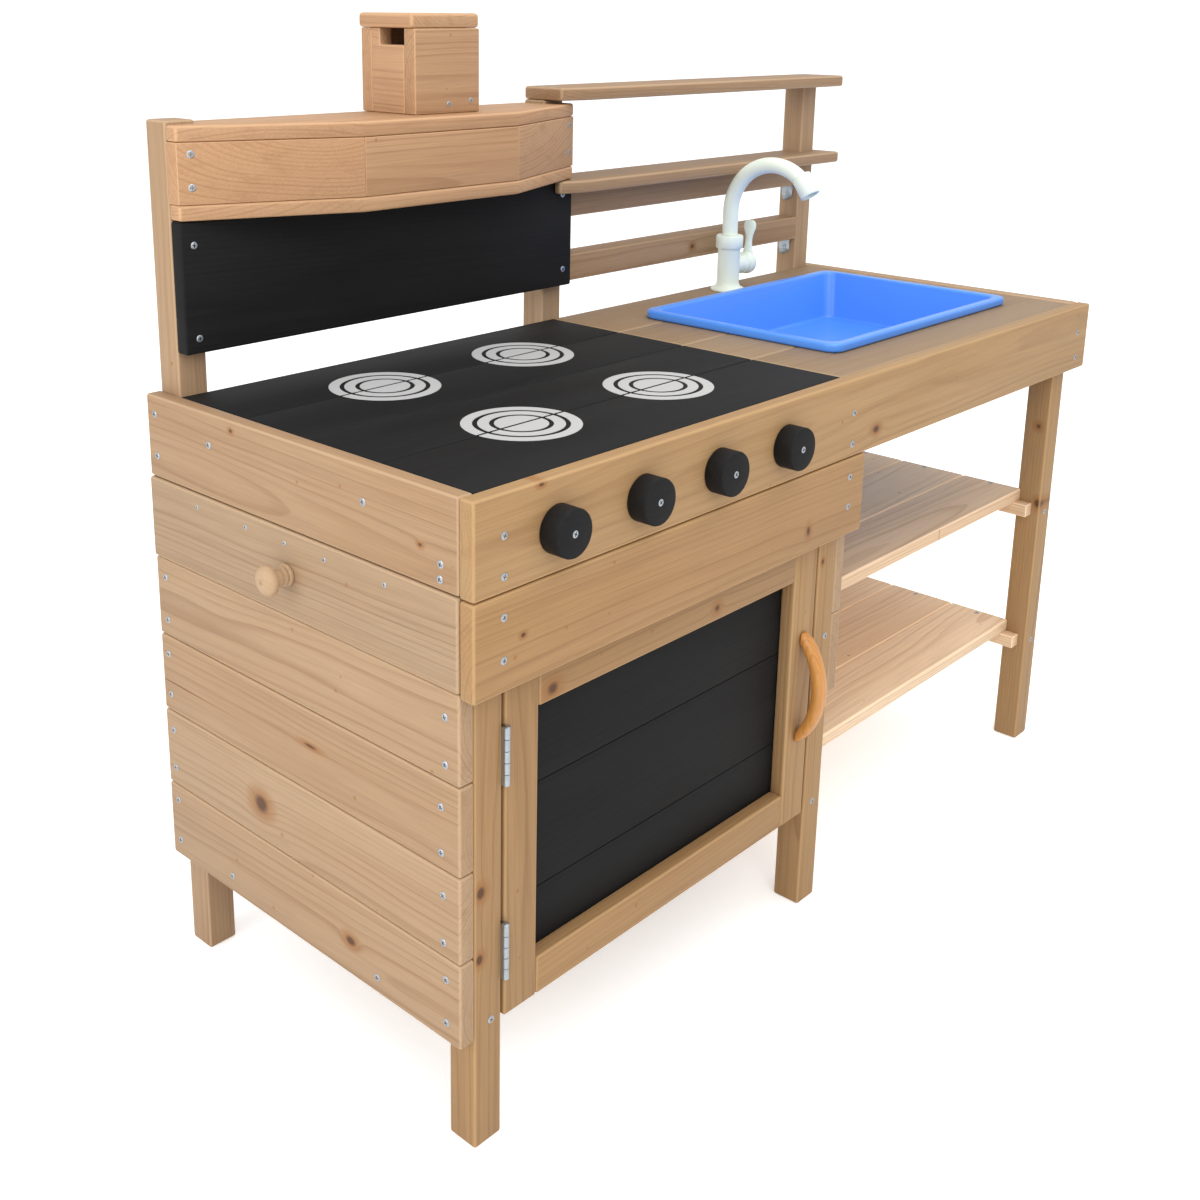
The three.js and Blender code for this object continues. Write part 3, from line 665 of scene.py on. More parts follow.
# For each board, its knots: place in mm, half length and half width in mm, push on the rings.
knots = {
    "front_apron": [((637, 0, 592), 9, 6, 7), ((81, 0, 657), 5, 3, 3)],
    "left_top_rail": [((0, 340, 650), 4, 3, 3), ((0, 66, 606), 4, 3, 3)],
    "left_side_board_2": [((0, 230, 352), 15, 3, 2), ((0, 452, 336.5), 62, 0.8, 0)],
    "left_side_board_3": [((0, 316, 253), 14, 12, 12), ((0, 45, 342), 4, 3, 0)],
    "left_side_board_4": [((0, 175, 160), 10, 7, 6)],
    "door_rail_top": [((119, 18, 446), 11, 9, 8), ((371, 18, 449), 8, 7, 6)],
    "lower_front_rail": [((60, 0, 524), 4, 3, 2), ((508, 0, 503), 5, 8, 3)],
    "post_front_left": [((26, 18, 275), 8, 7, 6), ((24, 18, 206), 7, 6, 5)],
    "post_front_middle": [((552, 18, 58), 7, 6, 5), ((572, 18, 444), 5, 4, 3)],
    "post_front_right": [((1147, 32, 485), 7, 6, 4), ((1147, 22, 372), 8, 7, 5)],
    "hanging_rail": [((880, 455, 722), 6, 5, 4)],
}


def addBoard(node, finish, slot, axis=None, radius=None, body="frame"):
    piece = boardFromNode(node, node + "_sanded", radius)
    grainAxis = longest(piece) if axis is None else axis
    setGrain(piece, grainAxis, tone=tones.get(node), marks=knots.get(node, ()))
    return finishPiece(piece, made[finish], body, slot, node)


def addPosts():
    for side in ("left", "middle", "right"):
        for row in ("front", "back"):
            look = "front" if row == "front" else "side"
            addBoard(f"post_{row}_{side}", look, "side_wood", radius=sanding["post"])
    print("posts done")


def addCarcass():
    addBoard("front_apron", "front", "front_wood")
    addBoard("lower_front_rail", "front", "front_wood")
    for node in ("left_top_rail", "right_end_rail"):
        addBoard(node, "side", "side_wood")
    for n in range(1, 5):
        addBoard(f"left_side_board_{n}", "side", "side_wood")
    for level in ("top", "middle", "low"):
        addBoard(f"cabinet_side_{level}", "side", "side_wood", axis=1)
    addBoard("leaf_front", "side", "side_wood", body="leaf")
    addBoard("leaf_runners", "side", "side_wood")
    print("carcass boards done")


# The boards of a deck, read off its top face: pairs of edges across the boards.
def deckRows(node):
    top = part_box(node)[1].z
    corners = [v.co for v in nodes[node].data.vertices]
    edges = sorted({round(c.y, 5) for c in corners if abs(c.z - top) < 1e-5})
    merged = [edges[0]]
    for y in edges[1:]:
        if y - merged[-1] > 0.0004:
            merged.append(y)
    return list(zip(merged[0::2], merged[1::2]))


def addDeck(node, finish, slot, thickness, strips, body="frame"):
    low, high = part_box(node)
    pieces = []
    for n, (y0, y1) in enumerate(deckRows(node)):
        piece = block(f"{node}_{n + 1}", (low.x, y0, high.z - thickness), (high.x, y1, high.z))
        rounded(piece, sanding["board"])
        setGrain(piece, 0)
        pieces.append(piece)
    for n, (x0, x1, y0, y1) in enumerate(strips):
        piece = block(f"{node}_strip_{n + 1}", (x0, y0, low.z), (x1, y1, high.z - thickness))
        rounded(piece, sanding["strip"])
        setGrain(piece, 1)
        pieces.append(piece)
    whole = joined(node + "_boards", pieces)
    return finishPiece(whole, made[finish], body, slot, node)


deck = {
    "thickness": 18 * mm,
    "strip": 18 * mm,
    "stripFront": 30,
    "stripBack": 12 * mm,
    "sinkStripInset": 8 * mm,
    "leafStripInset": 20 * mm,
    "leafStrips": (90 * mm, 360 * mm),
}


def addDecks():
    for n in range(1, 5):
        addBoard(f"hob_board_{n}", "black", "black_paint")
    addBoard("sink_board_front", "deck", "front_wood")
    addBoard("sink_board_back", "deck", "front_wood")
    for side in ("left", "right"):
        low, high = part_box(f"sink_boards_{side}")
        stripX = high.x - deck["strip"] if side == "left" else low.x
        inset = deck["sinkStripInset"]
        strip = (stripX, stripX + deck["strip"], low.y + inset, high.y - inset)
        addDeck(f"sink_boards_{side}", "deck", "front_wood", deck["thickness"], [strip])
    for node in ("upper_shelf", "lower_shelf"):
        low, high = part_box(node)
        y0 = place(0, deck["stripFront"], 0).y
        y1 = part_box("post_back_left")[1].y - deck["stripBack"]
        strips = [(high.x - deck["strip"], high.x, y0, y1)]
        if node == "lower_shelf":
            strips.append((low.x, low.x + deck["strip"], y0, y1))
        addDeck(node, "shelf", "front_wood", deck["thickness"], strips)
    low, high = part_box("cabinet_floor")
    strip = (high.x - deck["strip"], high.x, low.y, high.y)
    addDeck("cabinet_floor", "side", "side_wood", deck["thickness"], [strip])
    low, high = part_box("leaf_panel")
    y0, y1 = low.y + deck["leafStripInset"], high.y - deck["leafStripInset"]
    starts = [low.x + reach for reach in deck["leafStrips"]]
    strips = [(x, x + deck["strip"], y0, y1) for x in starts]
    addDeck("leaf_panel", "side", "side_wood", deck["thickness"], strips, "leaf")
    print("decks done")


def addDoor():
    for node in ("door_stile_left", "door_stile_right", "door_rail_top", "door_rail_bottom"):
        addBoard(node, "front", "front_wood", body="door")
    addBoard("door_panel", "black", "black_paint", axis=0, body="door", radius=sanding["panel"])
    handle = boardFromNode("door_handle", "door_handle_bow", sanding["handle"])
    setGrain(handle, 2)
    finishPiece(handle, made["handle"], "door", "handle_wood", "door_handle")
    print("door done")


def addHood():
    for node in ("hood_bottom", "hood_top"):
        addBoard(node, "hood", "hood_wood", axis=0, radius=sanding["hood"])
    for part in ("left", "front", "right"):
        addBoard(f"hood_fascia_{part}", "hood", "hood_wood", axis=0, radius=sanding["panel"])
    addChimney()
    addBoard("chimney_lid", "hood", "hood_wood", axis=1, radius=sanding["lid"])
    print("hood done")


chimney = {"wall": 18, "slotDepth": 40, "slotHeight": 18, "round": 1.6}


# The front and back boards cover the ends of the side boards. The left one has the slot.
def addChimney():
    low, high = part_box("chimney_box")
    wall = chimney["wall"] * mm
    sideEnds = (low.y + wall, high.y - wall)
    spans = [
        ("front", (low.x, low.y), (high.x, low.y + wall)),
        ("back", (low.x, high.y - wall), (high.x, high.y)),
        ("left", (low.x, sideEnds[0]), (low.x + wall, sideEnds[1])),
        ("right", (high.x - wall, sideEnds[0]), (high.x, sideEnds[1])),
    ]
    pieces = []
    for name, start, end in spans:
        piece = block(f"chimney_{name}", (*start, low.z), (*end, high.z))
        if name == "left":
            slotEnd = sideEnds[0] + chimney["slotDepth"] * mm
            slotLow = (low.x - mm, sideEnds[0] - mm, high.z - chimney["slotHeight"] * mm)
            slot = block("slotCutter", slotLow, (low.x + wall + mm, slotEnd, high.z + mm))
            cutter = piece.modifiers.new("slot", "BOOLEAN")
            cutter.operation = "DIFFERENCE"
            cutter.object = slot
            applyAll(piece)
            bpy.data.objects.remove(slot)
        rounded(piece, chimney["round"] * mm)
        setGrain(piece, 1 if name in ("left", "right") else 0)
        pieces.append(piece)
    whole = joined("chimney_boards", pieces)
    finishPiece(whole, made["hood"], "frame", "hood_wood", "chimney_box")


def addWall():
    addBoard("chalkboard", "black", "black_paint")
    for node in ("top_shelf", "second_shelf"):
        addBoard(node, "side", "side_wood", axis=0, radius=sanding["shelf"])
    for node in ("shelf_rail", "hanging_rail"):
        addBoard(node, "side", "side_wood")
    print("back wall done")


screw = {
    "radius": 3.9 * mm,
    "proud": 0.7 * mm,
    "shank": 3.0 * mm,
    "crossLength": 4.4 * mm,
    "crossWidth": 1.0 * mm,
}

# For each node: the face, and the places on it in mm from the node's lowest corner.
screwPlaces = {
    "front_apron": ("-Y", [(36, 52), (36, 15), (587, 51), (587, 15), (1168, 53), (1168, 18)]),
    "lower_front_rail": ("-Y", [(36, 71), (36, 31), (587, 70), (587, 35)]),
    "left_top_rail": ("-X", [(457, 69), (456, 24), (361, 56), (123, 55), (22, 24), (23, 10)]),
    "leaf_front": ("-X", [(385, 75), (302, 75), (239, 75), (179, 75), (94, 75)]),
    "left_side_board_1": ("-X", [(455, 68), (455, 19), (18, 63), (18, 17)]),
    "left_side_board_2": ("-X", [(458, 68), (458, 20), (24, 63), (24, 17)]),
    "left_side_board_3": ("-X", [(457, 67), (457, 21), (22, 64), (22, 15)]),
    "left_side_board_4": ("-X", [
        (456, 71), (456, 21), (19, 67), (19, 21), (357, 20), (117, 18),
    ]),
    "right_end_rail": ("+X", [(457, 69), (456, 24), (361, 56), (123, 55), (22, 24), (23, 60)]),
    "post_front_left": ("-Y", [(21, 134)]),
    "post_front_middle": ("-Y", [(22, 348), (18, 134)]),
    "post_front_right": ("-Y", [(18, 356), (18, 156)]),
    "chalkboard": ("-Y", [(15, 112), (16, 16), (563, 118), (565, 22)]),
    "chimney_box": ("-Y", [(50, 10), (84, 13)]),
    "top_shelf": ("+Z", [(16, 38), (16, 58), (600, 38), (600, 58)]),
    "upper_shelf": ("+Z", [(538, 61), (538, 168), (538, 270), (538, 372)]),
    "lower_shelf": ("+Z", [
        (535, 62), (535, 163), (535, 265), (535, 368), (9, 62), (9, 163), (9, 265), (9, 368),
    ]),
    "cabinet_floor": ("+Z", [(572, 50), (572, 130), (572, 232), (572, 335)]),
}
screwSizes = {"leaf_front": 0.66, "chimney_box": 0.8, "top_shelf": 0.9}
faceDirections = {"-Y": (0, -1, 0), "-X": (-1, 0, 0), "+X": (1, 0, 0), "+Z": (0, 0, 1)}


def onFace(node, face, first, second):
    low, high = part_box(node)
    if face == "-Y":
        return Vector((low.x + first * mm, low.y, low.z + second * mm))
    if face == "+Z":
        return Vector((low.x + first * mm, low.y + second * mm, high.z))
    side = low.x if face == "-X" else high.x
    return Vector((side, low.y + first * mm, low.z + second * mm))


# One cross-head screw, head up at the origin, that the others are copied from.
def makeScrew():
    r, proud = screw["radius"], screw["proud"]
    sections = [(r * 0.55, -screw["shank"]), (r, -0.4 * mm), (r, proud * 0.35)]
    sections += [(r * 0.8, proud), (r * 0.3, proud * 1.15)]
    head = turned("screwMaster", sections, (0, 0, 0), (0, 0, 1), sides=18)
    half, width = screw["crossLength"] / 2, screw["crossWidth"] / 2
    bars = [
        block("crossBar1", (-half, -width, -1.0 * mm), (half, width, 3 * mm)),
        block("crossBar2", (-width * 1.001, -half, -0.95 * mm), (width * 1.001, half, 3.1 * mm)),
    ]
    for bar in bars:
        recess = head.modifiers.new("recess", "BOOLEAN")
        recess.operation = "DIFFERENCE"
        recess.object = bar
        applyAll(head)
    for bar in bars:
        bpy.data.objects.remove(bar)
    head.data.materials.clear()
    head.data.materials.append(made["zinc"])
    head.data.materials.append(made["recess"])
    # the faces inside the cross recess take the near-black painted shade
    for face in head.data.polygons:
        reach = max(Vector(head.data.vertices[v].co[:2]).length for v in face.vertices)
        face.material_index = 1 if reach < half * 1.04 and face.center.z < proud else 0
    return head


def placeScrews(name, spots, direction, body, scale=1.0):
    rng = random.Random(name)
    copies = []
    aim = Vector((0, 0, 1)).rotation_difference(Vector(direction)).to_matrix().to_4x4()
    for spot in spots:
        copy = screwMaster.copy()
        copy.data = screwMaster.data.copy()
        bpy.context.scene.collection.objects.link(copy)
        spin = Matrix.Rotation(rng.uniform(0, math.pi), 4, "Z")
        moved = Matrix.Translation(Vector(spot)) @ aim @ spin @ Matrix.Scale(scale, 4)
        copy.data.transform(moved)
        copies.append(copy)
    group = joined(name, copies)
    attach(group, body)
    return group


# Along the slanted board from its outer end, and up from its lower edge.
hoodScrews = {"left": [(14, 17), (14, 50)], "right": [(14, 18), (14, 52)], "endInset": 17.7 * mm}


def addScrews():
    bodies = frame["record"]["behaviour"]["bodies"]
    for node, (face, places) in screwPlaces.items():
        body = next(b for b, members in bodies.items() if node in members)
        spots = [onFace(node, face, *p) for p in places]
        size = screwSizes.get(node, 1.0)
        placeScrews(f"screws_{node}", spots, faceDirections[face], body, size)
    # the slanted boards of the hood, screwed near their outer ends
    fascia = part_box("hood_fascia_front")
    for side, outward in (("left", -1), ("right", 1)):
        low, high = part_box(f"hood_fascia_{side}")
        outerX, innerX = (low.x, fascia[0].x) if side == "left" else (high.x, fascia[1].x)
        endY = high.y - hoodScrews["endInset"]
        slope = Vector((innerX - outerX, fascia[0].y - endY, 0)).normalized()
        normal = Vector((outward * abs(slope.y), -abs(slope.x), 0))
        spots = []
        for along, up in hoodScrews[side]:
            spots.append(Vector((outerX, endY, low.z + up * mm)) + slope * along * mm)
        placeScrews(f"screws_hood_{side}", spots, normal, "frame")
    print("screws done")


burner = {
    "rings": [(0, 27), (31.8, 43.4), (48.4, 60)],  # inner and outer radius
    "columns": (199, 411),
    "behindBoards": (1, 3),  # each row straddles the seam behind this hob board
    "paint": 0.35 * mm,
    "seamGap": 1.8,
    "sides": 96,
}


def burnerRing(name, centre, inner, outer):
    deselect()
    sides = burner["sides"]
    bpy.ops.mesh.primitive_circle_add(vertices=sides, radius=outer * mm, fill_type="NGON")
    ring = bpy.context.object
    ring.name = name
    bpy.ops.object.mode_set(mode="EDIT")
    bpy.ops.mesh.select_all(action="SELECT")
    if inner:
        bpy.ops.mesh.inset(thickness=(outer - inner) * mm)
        bpy.ops.mesh.delete(type="FACE")
    halves = []
    bpy.ops.object.mode_set(mode="OBJECT")
    for side in (1, -1):
        half = ring.copy()
        half.data = ring.data.copy()
        bpy.context.scene.collection.objects.link(half)
        pick(half)
        bpy.ops.object.mode_set(mode="EDIT")
        bpy.ops.mesh.select_all(action="SELECT")
        cutAt = (0, side * burner["seamGap"] * mm, 0)
        bpy.ops.mesh.bisect(plane_co=cutAt, plane_no=(0, side, 0), clear_inner=True)
        bpy.ops.mesh.select_all(action="SELECT")
        rise = {"value": (0, 0, burner["paint"])}
        bpy.ops.mesh.extrude_region_move(TRANSFORM_OT_translate=rise)
        faceOutwards()
        halves.append(half)
    bpy.data.objects.remove(ring)
    whole = joined(name, halves)
    whole.data.transform(Matrix.Translation(centre))
    return whole


def addBurners():
    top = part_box("hob_board_1")[1].z
    seams = [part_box(f"hob_board_{n}")[1].y + 0.5 * mm for n in burner["behindBoards"]]
    spots = [(x, y) for y in seams for x in burner["columns"]]
    for n, (x, y) in enumerate(spots):
        centre = Vector((place(x, 0, 0).x, y, top))
        rings = []
        for k, radii in enumerate(burner["rings"]):
            rings.append(burnerRing(f"burnerRing{n}_{k}", centre, *radii))
        mark = joined(f"burner_mark_{n + 1}", rings)
        finishPiece(mark, made["white"], "frame", "tap_ivory")
    print("burner marks done")


knob = {"radius": 23, "length": 22, "edge": 1.8, "sides": 64, "screwSize": 1.02}

# The turned knob of the leaf: radius and distance from the board, foot first.
leafKnob = [
    (0.5, 0), (10.2, 0), (11.2, 0.8), (11.2, 3.2), (10.2, 4.0), (8.4, 4.4), (8.4, 5.0),
    (9.8, 5.6), (10.0, 7.0), (9.0, 8.0), (7.4, 8.6), (7.4, 9.4), (8.4, 10.4), (8.6, 12.0),
    (7.2, 14.0), (7.0, 16.0), (8.2, 17.4), (12.0, 18.6), (14.6, 20.2), (15.4, 22.4),
    (15.2, 24.6), (13.8, 27.0), (11.2, 29.0), (7.6, 30.3), (3.8, 30.9), (0.6, 31.0),
]


def addKnobs():
    for n, body in enumerate("abcd", start=1):
        low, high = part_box(f"hob_knob_{n}")
        centre = Vector(((low.x + high.x) / 2, high.y, (low.z + high.z) / 2))
        r, length, edge = knob["radius"] * mm, knob["length"] * mm, knob["edge"] * mm
        sections = [(r * 0.2, 0), (r - edge / 2, 0), (r, edge / 2), (r, length - edge)]
        sections += [(r - edge * 0.3, length - edge * 0.3), (r - edge, length), (r * 0.2, length)]
        disc = turned(f"hob_knob_{n}_turned", sections, centre, (0, -1, 0), knob["sides"])
        smoothed(disc, 50)
        setGrain(disc, 0)
        finishPiece(disc, made["knobBlack"], f"hob_knob_{body}", "black_paint", f"hob_knob_{n}")
        spot = centre + Vector((0, -length + 0.5 * mm, 0))
        size = knob["screwSize"]
        placeScrews(f"screw_hob_knob_{n}", [spot], (0, -1, 0), f"hob_knob_{body}", size)
    low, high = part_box("leaf_knob")
    centre = Vector((high.x, (low.y + high.y) / 2, (low.z + high.z) / 2))
    sections = [(r * mm, h * mm) for r, h in leafKnob]
    turnedKnob = turned("leaf_knob_turned", sections, centre, (-1, 0, 0), 48)
    smoothed(turnedKnob, 35)
    setGrain(turnedKnob, 0, heart=(0.004, 0.012))
    finishPiece(turnedKnob, made["side"], "leaf", "side_wood", "leaf_knob")
    print("knobs done")


hinge = {
    "knuckles": 5,
    "radius": 3.3,
    "gap": 0.35,
    "pinInset": 3.2,
    "pinRadius": 1.6,
    "pinHead": 3.9,
    "leaf": 1.2,
    "leafDepth": 15.0,
}


def addHinges():
    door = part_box("door_stile_left")
    for side in ("low", "high"):
        low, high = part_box(f"hinge_{side}")
        pinX, pinY = high.x - hinge["pinInset"] * mm, low.y + hinge["pinInset"] * mm
        length = (high.z - low.z) / hinge["knuckles"]
        fixed, moving = [], []
        for n in range(hinge["knuckles"]):
            r, gap = hinge["radius"] * mm, hinge["gap"] * mm
            sections = [(r * 0.85, gap / 2), (r, gap), (r, length - gap)]
            sections.append((r * 0.85, length - gap / 2))
            foot = (pinX, pinY, low.z + n * length)
            knuckle = turned(f"knuckle{n}", sections, foot, (0, 0, 1), 24)
            (fixed if n % 2 == 0 else moving).append(knuckle)
        head = hinge["pinHead"] * mm
        sections = [(head * 0.9, -0.3 * mm), (head, 0.4 * mm)]
        sections += [(head * 0.8, 1.2 * mm), (head * 0.3, 1.6 * mm)]
        fixed.append(turned("pinHead", sections, (pinX, pinY, high.z), (0, 0, 1), 24))
        pinRadius = hinge["pinRadius"] * mm
        pinSections = [(pinRadius, -0.8 * mm), (pinRadius, high.z - low.z)]
        fixed.append(turned("pin", pinSections, (pinX, pinY, low.z), (0, 0, 1), 16))
        leafY, thick = pinY + hinge["leafDepth"] * mm, hinge["leaf"] * mm
        fixedEnd = (low.x + thick, leafY, high.z)
        fixed.append(block("fixedLeaf", (low.x, pinY, low.z), fixedEnd))
        movingStart = (door[0].x - thick, pinY, low.z)
        moving.append(block("movingLeaf", movingStart, (door[0].x, leafY, high.z)))
        for part, group, body in (("fixed", fixed, "frame"), ("moving", moving, "door")):
            whole = joined(f"hinge_{side}_{part}", group)
            smoothed(whole, 40)
            finishPiece(whole, made["zinc"], body, "zinc")
        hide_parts(f"hinge_{side}")
    print("hinges done")


bracket = {
    "width": 20,
    "arm": 24,
    "thickness": 1.6,
    "inset": 20,
    "rails": ["shelf_rail", "hanging_rail"],
}


def addBrackets():
    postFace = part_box("post_back_right")[0]
    t, arm, half = bracket["thickness"] * mm, bracket["arm"] * mm, bracket["width"] / 2 * mm
    for n, rail in enumerate(bracket["rails"]):
        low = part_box(rail)[0]
        y = low.y + bracket["inset"] * mm
        foot = low.z - arm
        uprightEnd = (postFace.x, y + half, low.z)
        upright = block("upright", (postFace.x - t, y - half, foot), uprightEnd)
        pick(upright)
        bpy.ops.object.mode_set(mode="EDIT")
        bpy.ops.mesh.select_all(action="DESELECT")
        bpy.ops.object.mode_set(mode="OBJECT")
        for edge in upright.data.edges:
            ends = [upright.data.vertices[v].co for v in edge.vertices]
            atFoot = all(abs(e.z - foot) < 1e-6 for e in ends)
            edge.select = atFoot and abs(ends[0].x - ends[1].x) > 1e-4
        bpy.ops.object.mode_set(mode="EDIT")
        bpy.ops.mesh.bevel(offset=half * 0.98, segments=10, affect="EDGES")
        bpy.ops.object.mode_set(mode="OBJECT")
        flatEnd = (postFace.x - t * 0.5, y + half, low.z)
        flat = block("flat", (postFace.x - arm, y - half, low.z - t), flatEnd)
        angle = joined(f"angle_bracket_{n + 1}", [upright, flat])
        rounded(angle, 0.3 * mm, 2)
        finishPiece(angle, made["zinc"], "frame", "zinc")
        spot = Vector((postFace.x - t, y, low.z - arm * 0.55))
        placeScrews(f"screw_bracket_{n + 1}", [spot], (-1, 0, 0), "frame")
    print("brackets done")


basin = {"rim": 13, "rimHeight": 11, "wall": 3, "corner": 16, "draft": 8, "soft": 3.4}


# A rounded rectangle raised section by section: (inset from the outline, height) in mm.
def raisedTray(name, low, size, corner, sections):
    deselect()
    inset, height = sections[0]
    middle = Vector((low.x + size.x / 2, low.y + size.y / 2, low.z))
    bpy.ops.mesh.primitive_plane_add(size=1, location=middle)
    piece = bpy.context.object
    piece.name = name
    spans = [size.x - 2 * inset * mm, size.y - 2 * inset * mm]
    piece.scale = (*spans, 1)
    bpy.ops.object.transform_apply(location=True, rotation=True, scale=True)
    bpy.ops.object.mode_set(mode="EDIT")
    bpy.ops.mesh.select_all(action="SELECT")
    bpy.ops.mesh.bevel(offset=corner * mm, segments=10, affect="VERTICES")
    bpy.ops.mesh.select_all(action="SELECT")
    for nextInset, nextHeight in sections[1:]:
        rise = (0, 0, (nextHeight - height) * mm)
        bpy.ops.mesh.extrude_region_move(TRANSFORM_OT_translate={"value": rise})
        nextSpans = [size.x - 2 * nextInset * mm, size.y - 2 * nextInset * mm]
        grow = (nextSpans[0] / spans[0], nextSpans[1] / spans[1], 1)
        bpy.ops.transform.resize(value=grow, center_override=middle)
        height, spans = nextHeight, nextSpans
    faceOutwards()
    return piece


def addBasin():
    low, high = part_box("basin")
    full = (high.z - low.z) / mm
    rim, wall, draft = basin["rim"], basin["wall"], basin["draft"]
    lip = full - basin["rimHeight"]
    outside = [(rim - wall + draft, 0), (rim - wall, lip), (0, lip), (0, full)]
    sections = outside + [(rim, full), (rim + draft, wall)]
    piece = raisedTray("basin_moulded", low, high - low, basin["corner"], sections)
    rounded(piece, basin["soft"] * mm, 4, 50)
    finishPiece(piece, made["blue"], "basin", "basin_blue", "basin")
    print("basin done")


# Each turned part is a list of radius and height in mm.
tap = {
    "column": [
        (1, 0), (24.5, 0), (24.5, 1.6), (23.6, 3.0), (19.0, 5.2), (16.8, 8.0), (16.0, 12.0),
        (16.0, 58.5), (16.6, 60.0), (18.6, 61.4), (19.4, 62.4), (19.5, 77.6), (18.6, 79.2),
        (17.6, 79.7), (1, 79.7),
    ],
    "flangeRadius": 24.5,
    "valveHeight": 34.7,
    "valve": [(13.4, 8), (13.4, 27.0), (14.4, 27.8), (14.4, 33.2), (13.8, 33.8), (1, 33.9)],
    "hub": [
        (1, -6), (11.5, -6), (14.2, -4.0), (15.9, -1.0), (16.4, 3.0), (15.8, 6.5), (13.8, 9.8),
        (10.4, 12.3), (6, 13.6), (0.6, 14.0),
    ],
    "paddleFoot": (6.5, 0, 8),  # from the middle of the hub's inner face
    "pipeRadius": 11,
    "bend": 70,
    "turn": 145,
    "nozzle": [
        (1, 0), (13.2, 0), (13.8, 0.8), (13.8, 29.5), (13.2, 30.6), (11.6, 31.0), (1, 31.0),
    ],
    "nozzleOverlap": 8,
    "mouth": 9.5,
    "mouthDepth": 6,
}


def tapPart(name, part, start, direction, sides):
    sections = [(r * mm, h * mm) for r, h in tap[part]]
    return turned(name, sections, start, direction, sides)


def addTap():
    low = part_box("tap_body")[0]
    axis = low + Vector((tap["flangeRadius"], tap["flangeRadius"], 0)) * mm
    column = tapPart("tapColumn", "column", axis, (0, 0, 1), 48)
    valveStart = axis + Vector((0, 0, tap["valveHeight"] * mm))
    valve = tapPart("tapValve", "valve", valveStart, (1, 0, 0), 40)
    body = joined("tap_body_moulded", [column, valve])
    smoothed(body, 40)
    finishPiece(body, made["ivory"], "frame", "tap_ivory", "tap_body")
    addSpout(axis)

    hubStart = Vector((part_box("tap_lever")[0].x, axis.y, valveStart.z))
    hub = tapPart("leverHub", "hub", hubStart, (1, 0, 0), 40)
    paddle = leverPaddle(hubStart + Vector(tap["paddleFoot"]) * mm)
    lever = joined("tap_lever_moulded", [hub, paddle])
    smoothed(lever, 40)
    finishPiece(lever, made["ivory"], "lever", "tap_ivory", "tap_lever")
    print("tap done")


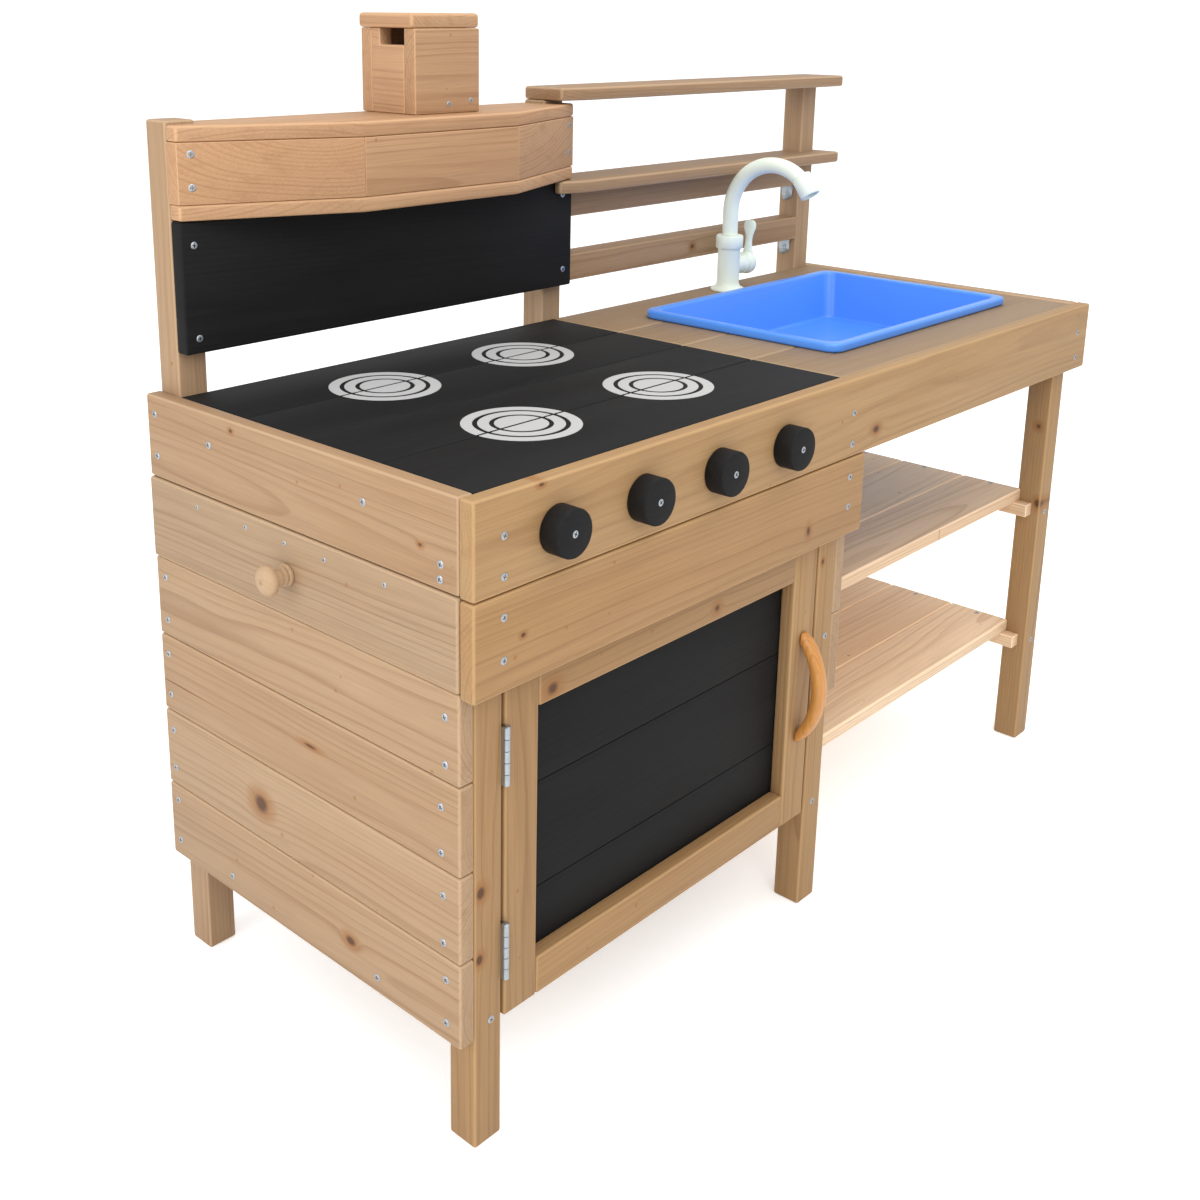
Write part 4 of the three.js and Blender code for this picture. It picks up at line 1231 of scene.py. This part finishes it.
# The pipe is a round section raised, then spun round the centre of its bend.
def addSpout(axis):
    spoutLow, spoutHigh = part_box("tap_spout")
    r, bendR = tap["pipeRadius"] * mm, tap["bend"] * mm
    base = Vector((axis.x, axis.y, spoutLow.z))
    straight = spoutHigh.z - r - bendR - spoutLow.z
    deselect()
    bpy.ops.mesh.primitive_circle_add(vertices=40, radius=r, fill_type="NGON", location=base)
    pipe = bpy.context.object
    pipe.name = "spoutPipe"
    bpy.ops.object.transform_apply(location=True)
    bpy.ops.object.mode_set(mode="EDIT")
    bpy.ops.mesh.select_all(action="SELECT")
    bpy.ops.mesh.extrude_region_move(TRANSFORM_OT_translate={"value": (0, 0, straight)})
    bendCentre = base + Vector((0, -bendR, straight))
    turn = math.radians(tap["turn"])
    bpy.ops.mesh.spin(steps=36, angle=turn, center=bendCentre, axis=(-1, 0, 0))
    bpy.ops.mesh.select_all(action="SELECT")
    bpy.ops.mesh.remove_doubles(threshold=0.00001)
    faceOutwards()
    end = bendCentre + Vector((0, bendR * math.cos(turn), bendR * math.sin(turn)))
    outward = Vector((0, -math.sin(turn), math.cos(turn)))
    start = end + outward * tap["nozzleOverlap"] * mm
    nozzle = tapPart("spoutNozzle", "nozzle", start, -outward, 48)
    mouth = tap["mouth"] * mm
    boreSections = [(mouth, -1 * mm), (mouth, tap["mouthDepth"] * mm)]
    bore = turned("spoutBore", boreSections, start, -outward, 32)
    hollow = nozzle.modifiers.new("mouth", "BOOLEAN")
    hollow.operation = "DIFFERENCE"
    hollow.object = bore
    applyAll(nozzle)
    bpy.data.objects.remove(bore)
    spout = joined("tap_spout_moulded", [pipe, nozzle])
    smoothed(spout, 40)
    finishPiece(spout, made["ivory"], "spout", "tap_ivory", "tap_spout")


# The lever: a flat stem drawn up from the hub that widens into a rounded paddle.
paddleShape = [
    # height, half width across Y, half thickness across X, lean along X
    (0, 11.5, 6.5, 0.0), (8, 8.2, 5.0, 0.0), (16, 6.0, 4.0, 0.5), (26, 5.2, 3.4, 1.2),
    (34, 7.0, 3.2, 1.8), (41, 10.4, 3.2, 2.3), (47, 11.0, 3.1, 2.6), (52, 9.0, 2.8, 2.8),
    (54, 5.4, 2.2, 2.8),
]


def leverPaddle(root):
    deselect()
    height, halfY, halfX, lean = paddleShape[0]
    bpy.ops.mesh.primitive_circle_add(vertices=20, radius=1, fill_type="NGON")
    piece = bpy.context.object
    piece.name = "leverPaddle"
    piece.scale = (halfX * mm, halfY * mm, 1)
    bpy.ops.object.transform_apply(location=True, rotation=True, scale=True)
    bpy.ops.object.mode_set(mode="EDIT")
    bpy.ops.mesh.select_all(action="SELECT")
    for nextHeight, nextY, nextX, nextLean in paddleShape[1:]:
        rise = ((nextLean - lean) * mm, 0, (nextHeight - height) * mm)
        bpy.ops.mesh.extrude_region_move(TRANSFORM_OT_translate={"value": rise})
        grow = (nextX / halfX, nextY / halfY, 1)
        bpy.ops.transform.resize(value=grow, center_override=(nextLean * mm, 0, 0))
        height, halfY, halfX, lean = nextHeight, nextY, nextX, nextLean
    faceOutwards()
    piece.data.transform(Matrix.Translation(root))
    smooth = piece.modifiers.new("smooth", "SUBSURF")
    smooth.levels = 2
    smooth.render_levels = 2
    applyAll(piece)
    return piece


addCamera()
made = makeFinishes()
addStudio()
addPosts()
addCarcass()
addDecks()
addDoor()
addHood()
addWall()
screwMaster = makeScrew()
addScrews()
addBurners()
addKnobs()
addHinges()
addBrackets()
addBasin()
addTap()
bpy.data.objects.remove(screwMaster)
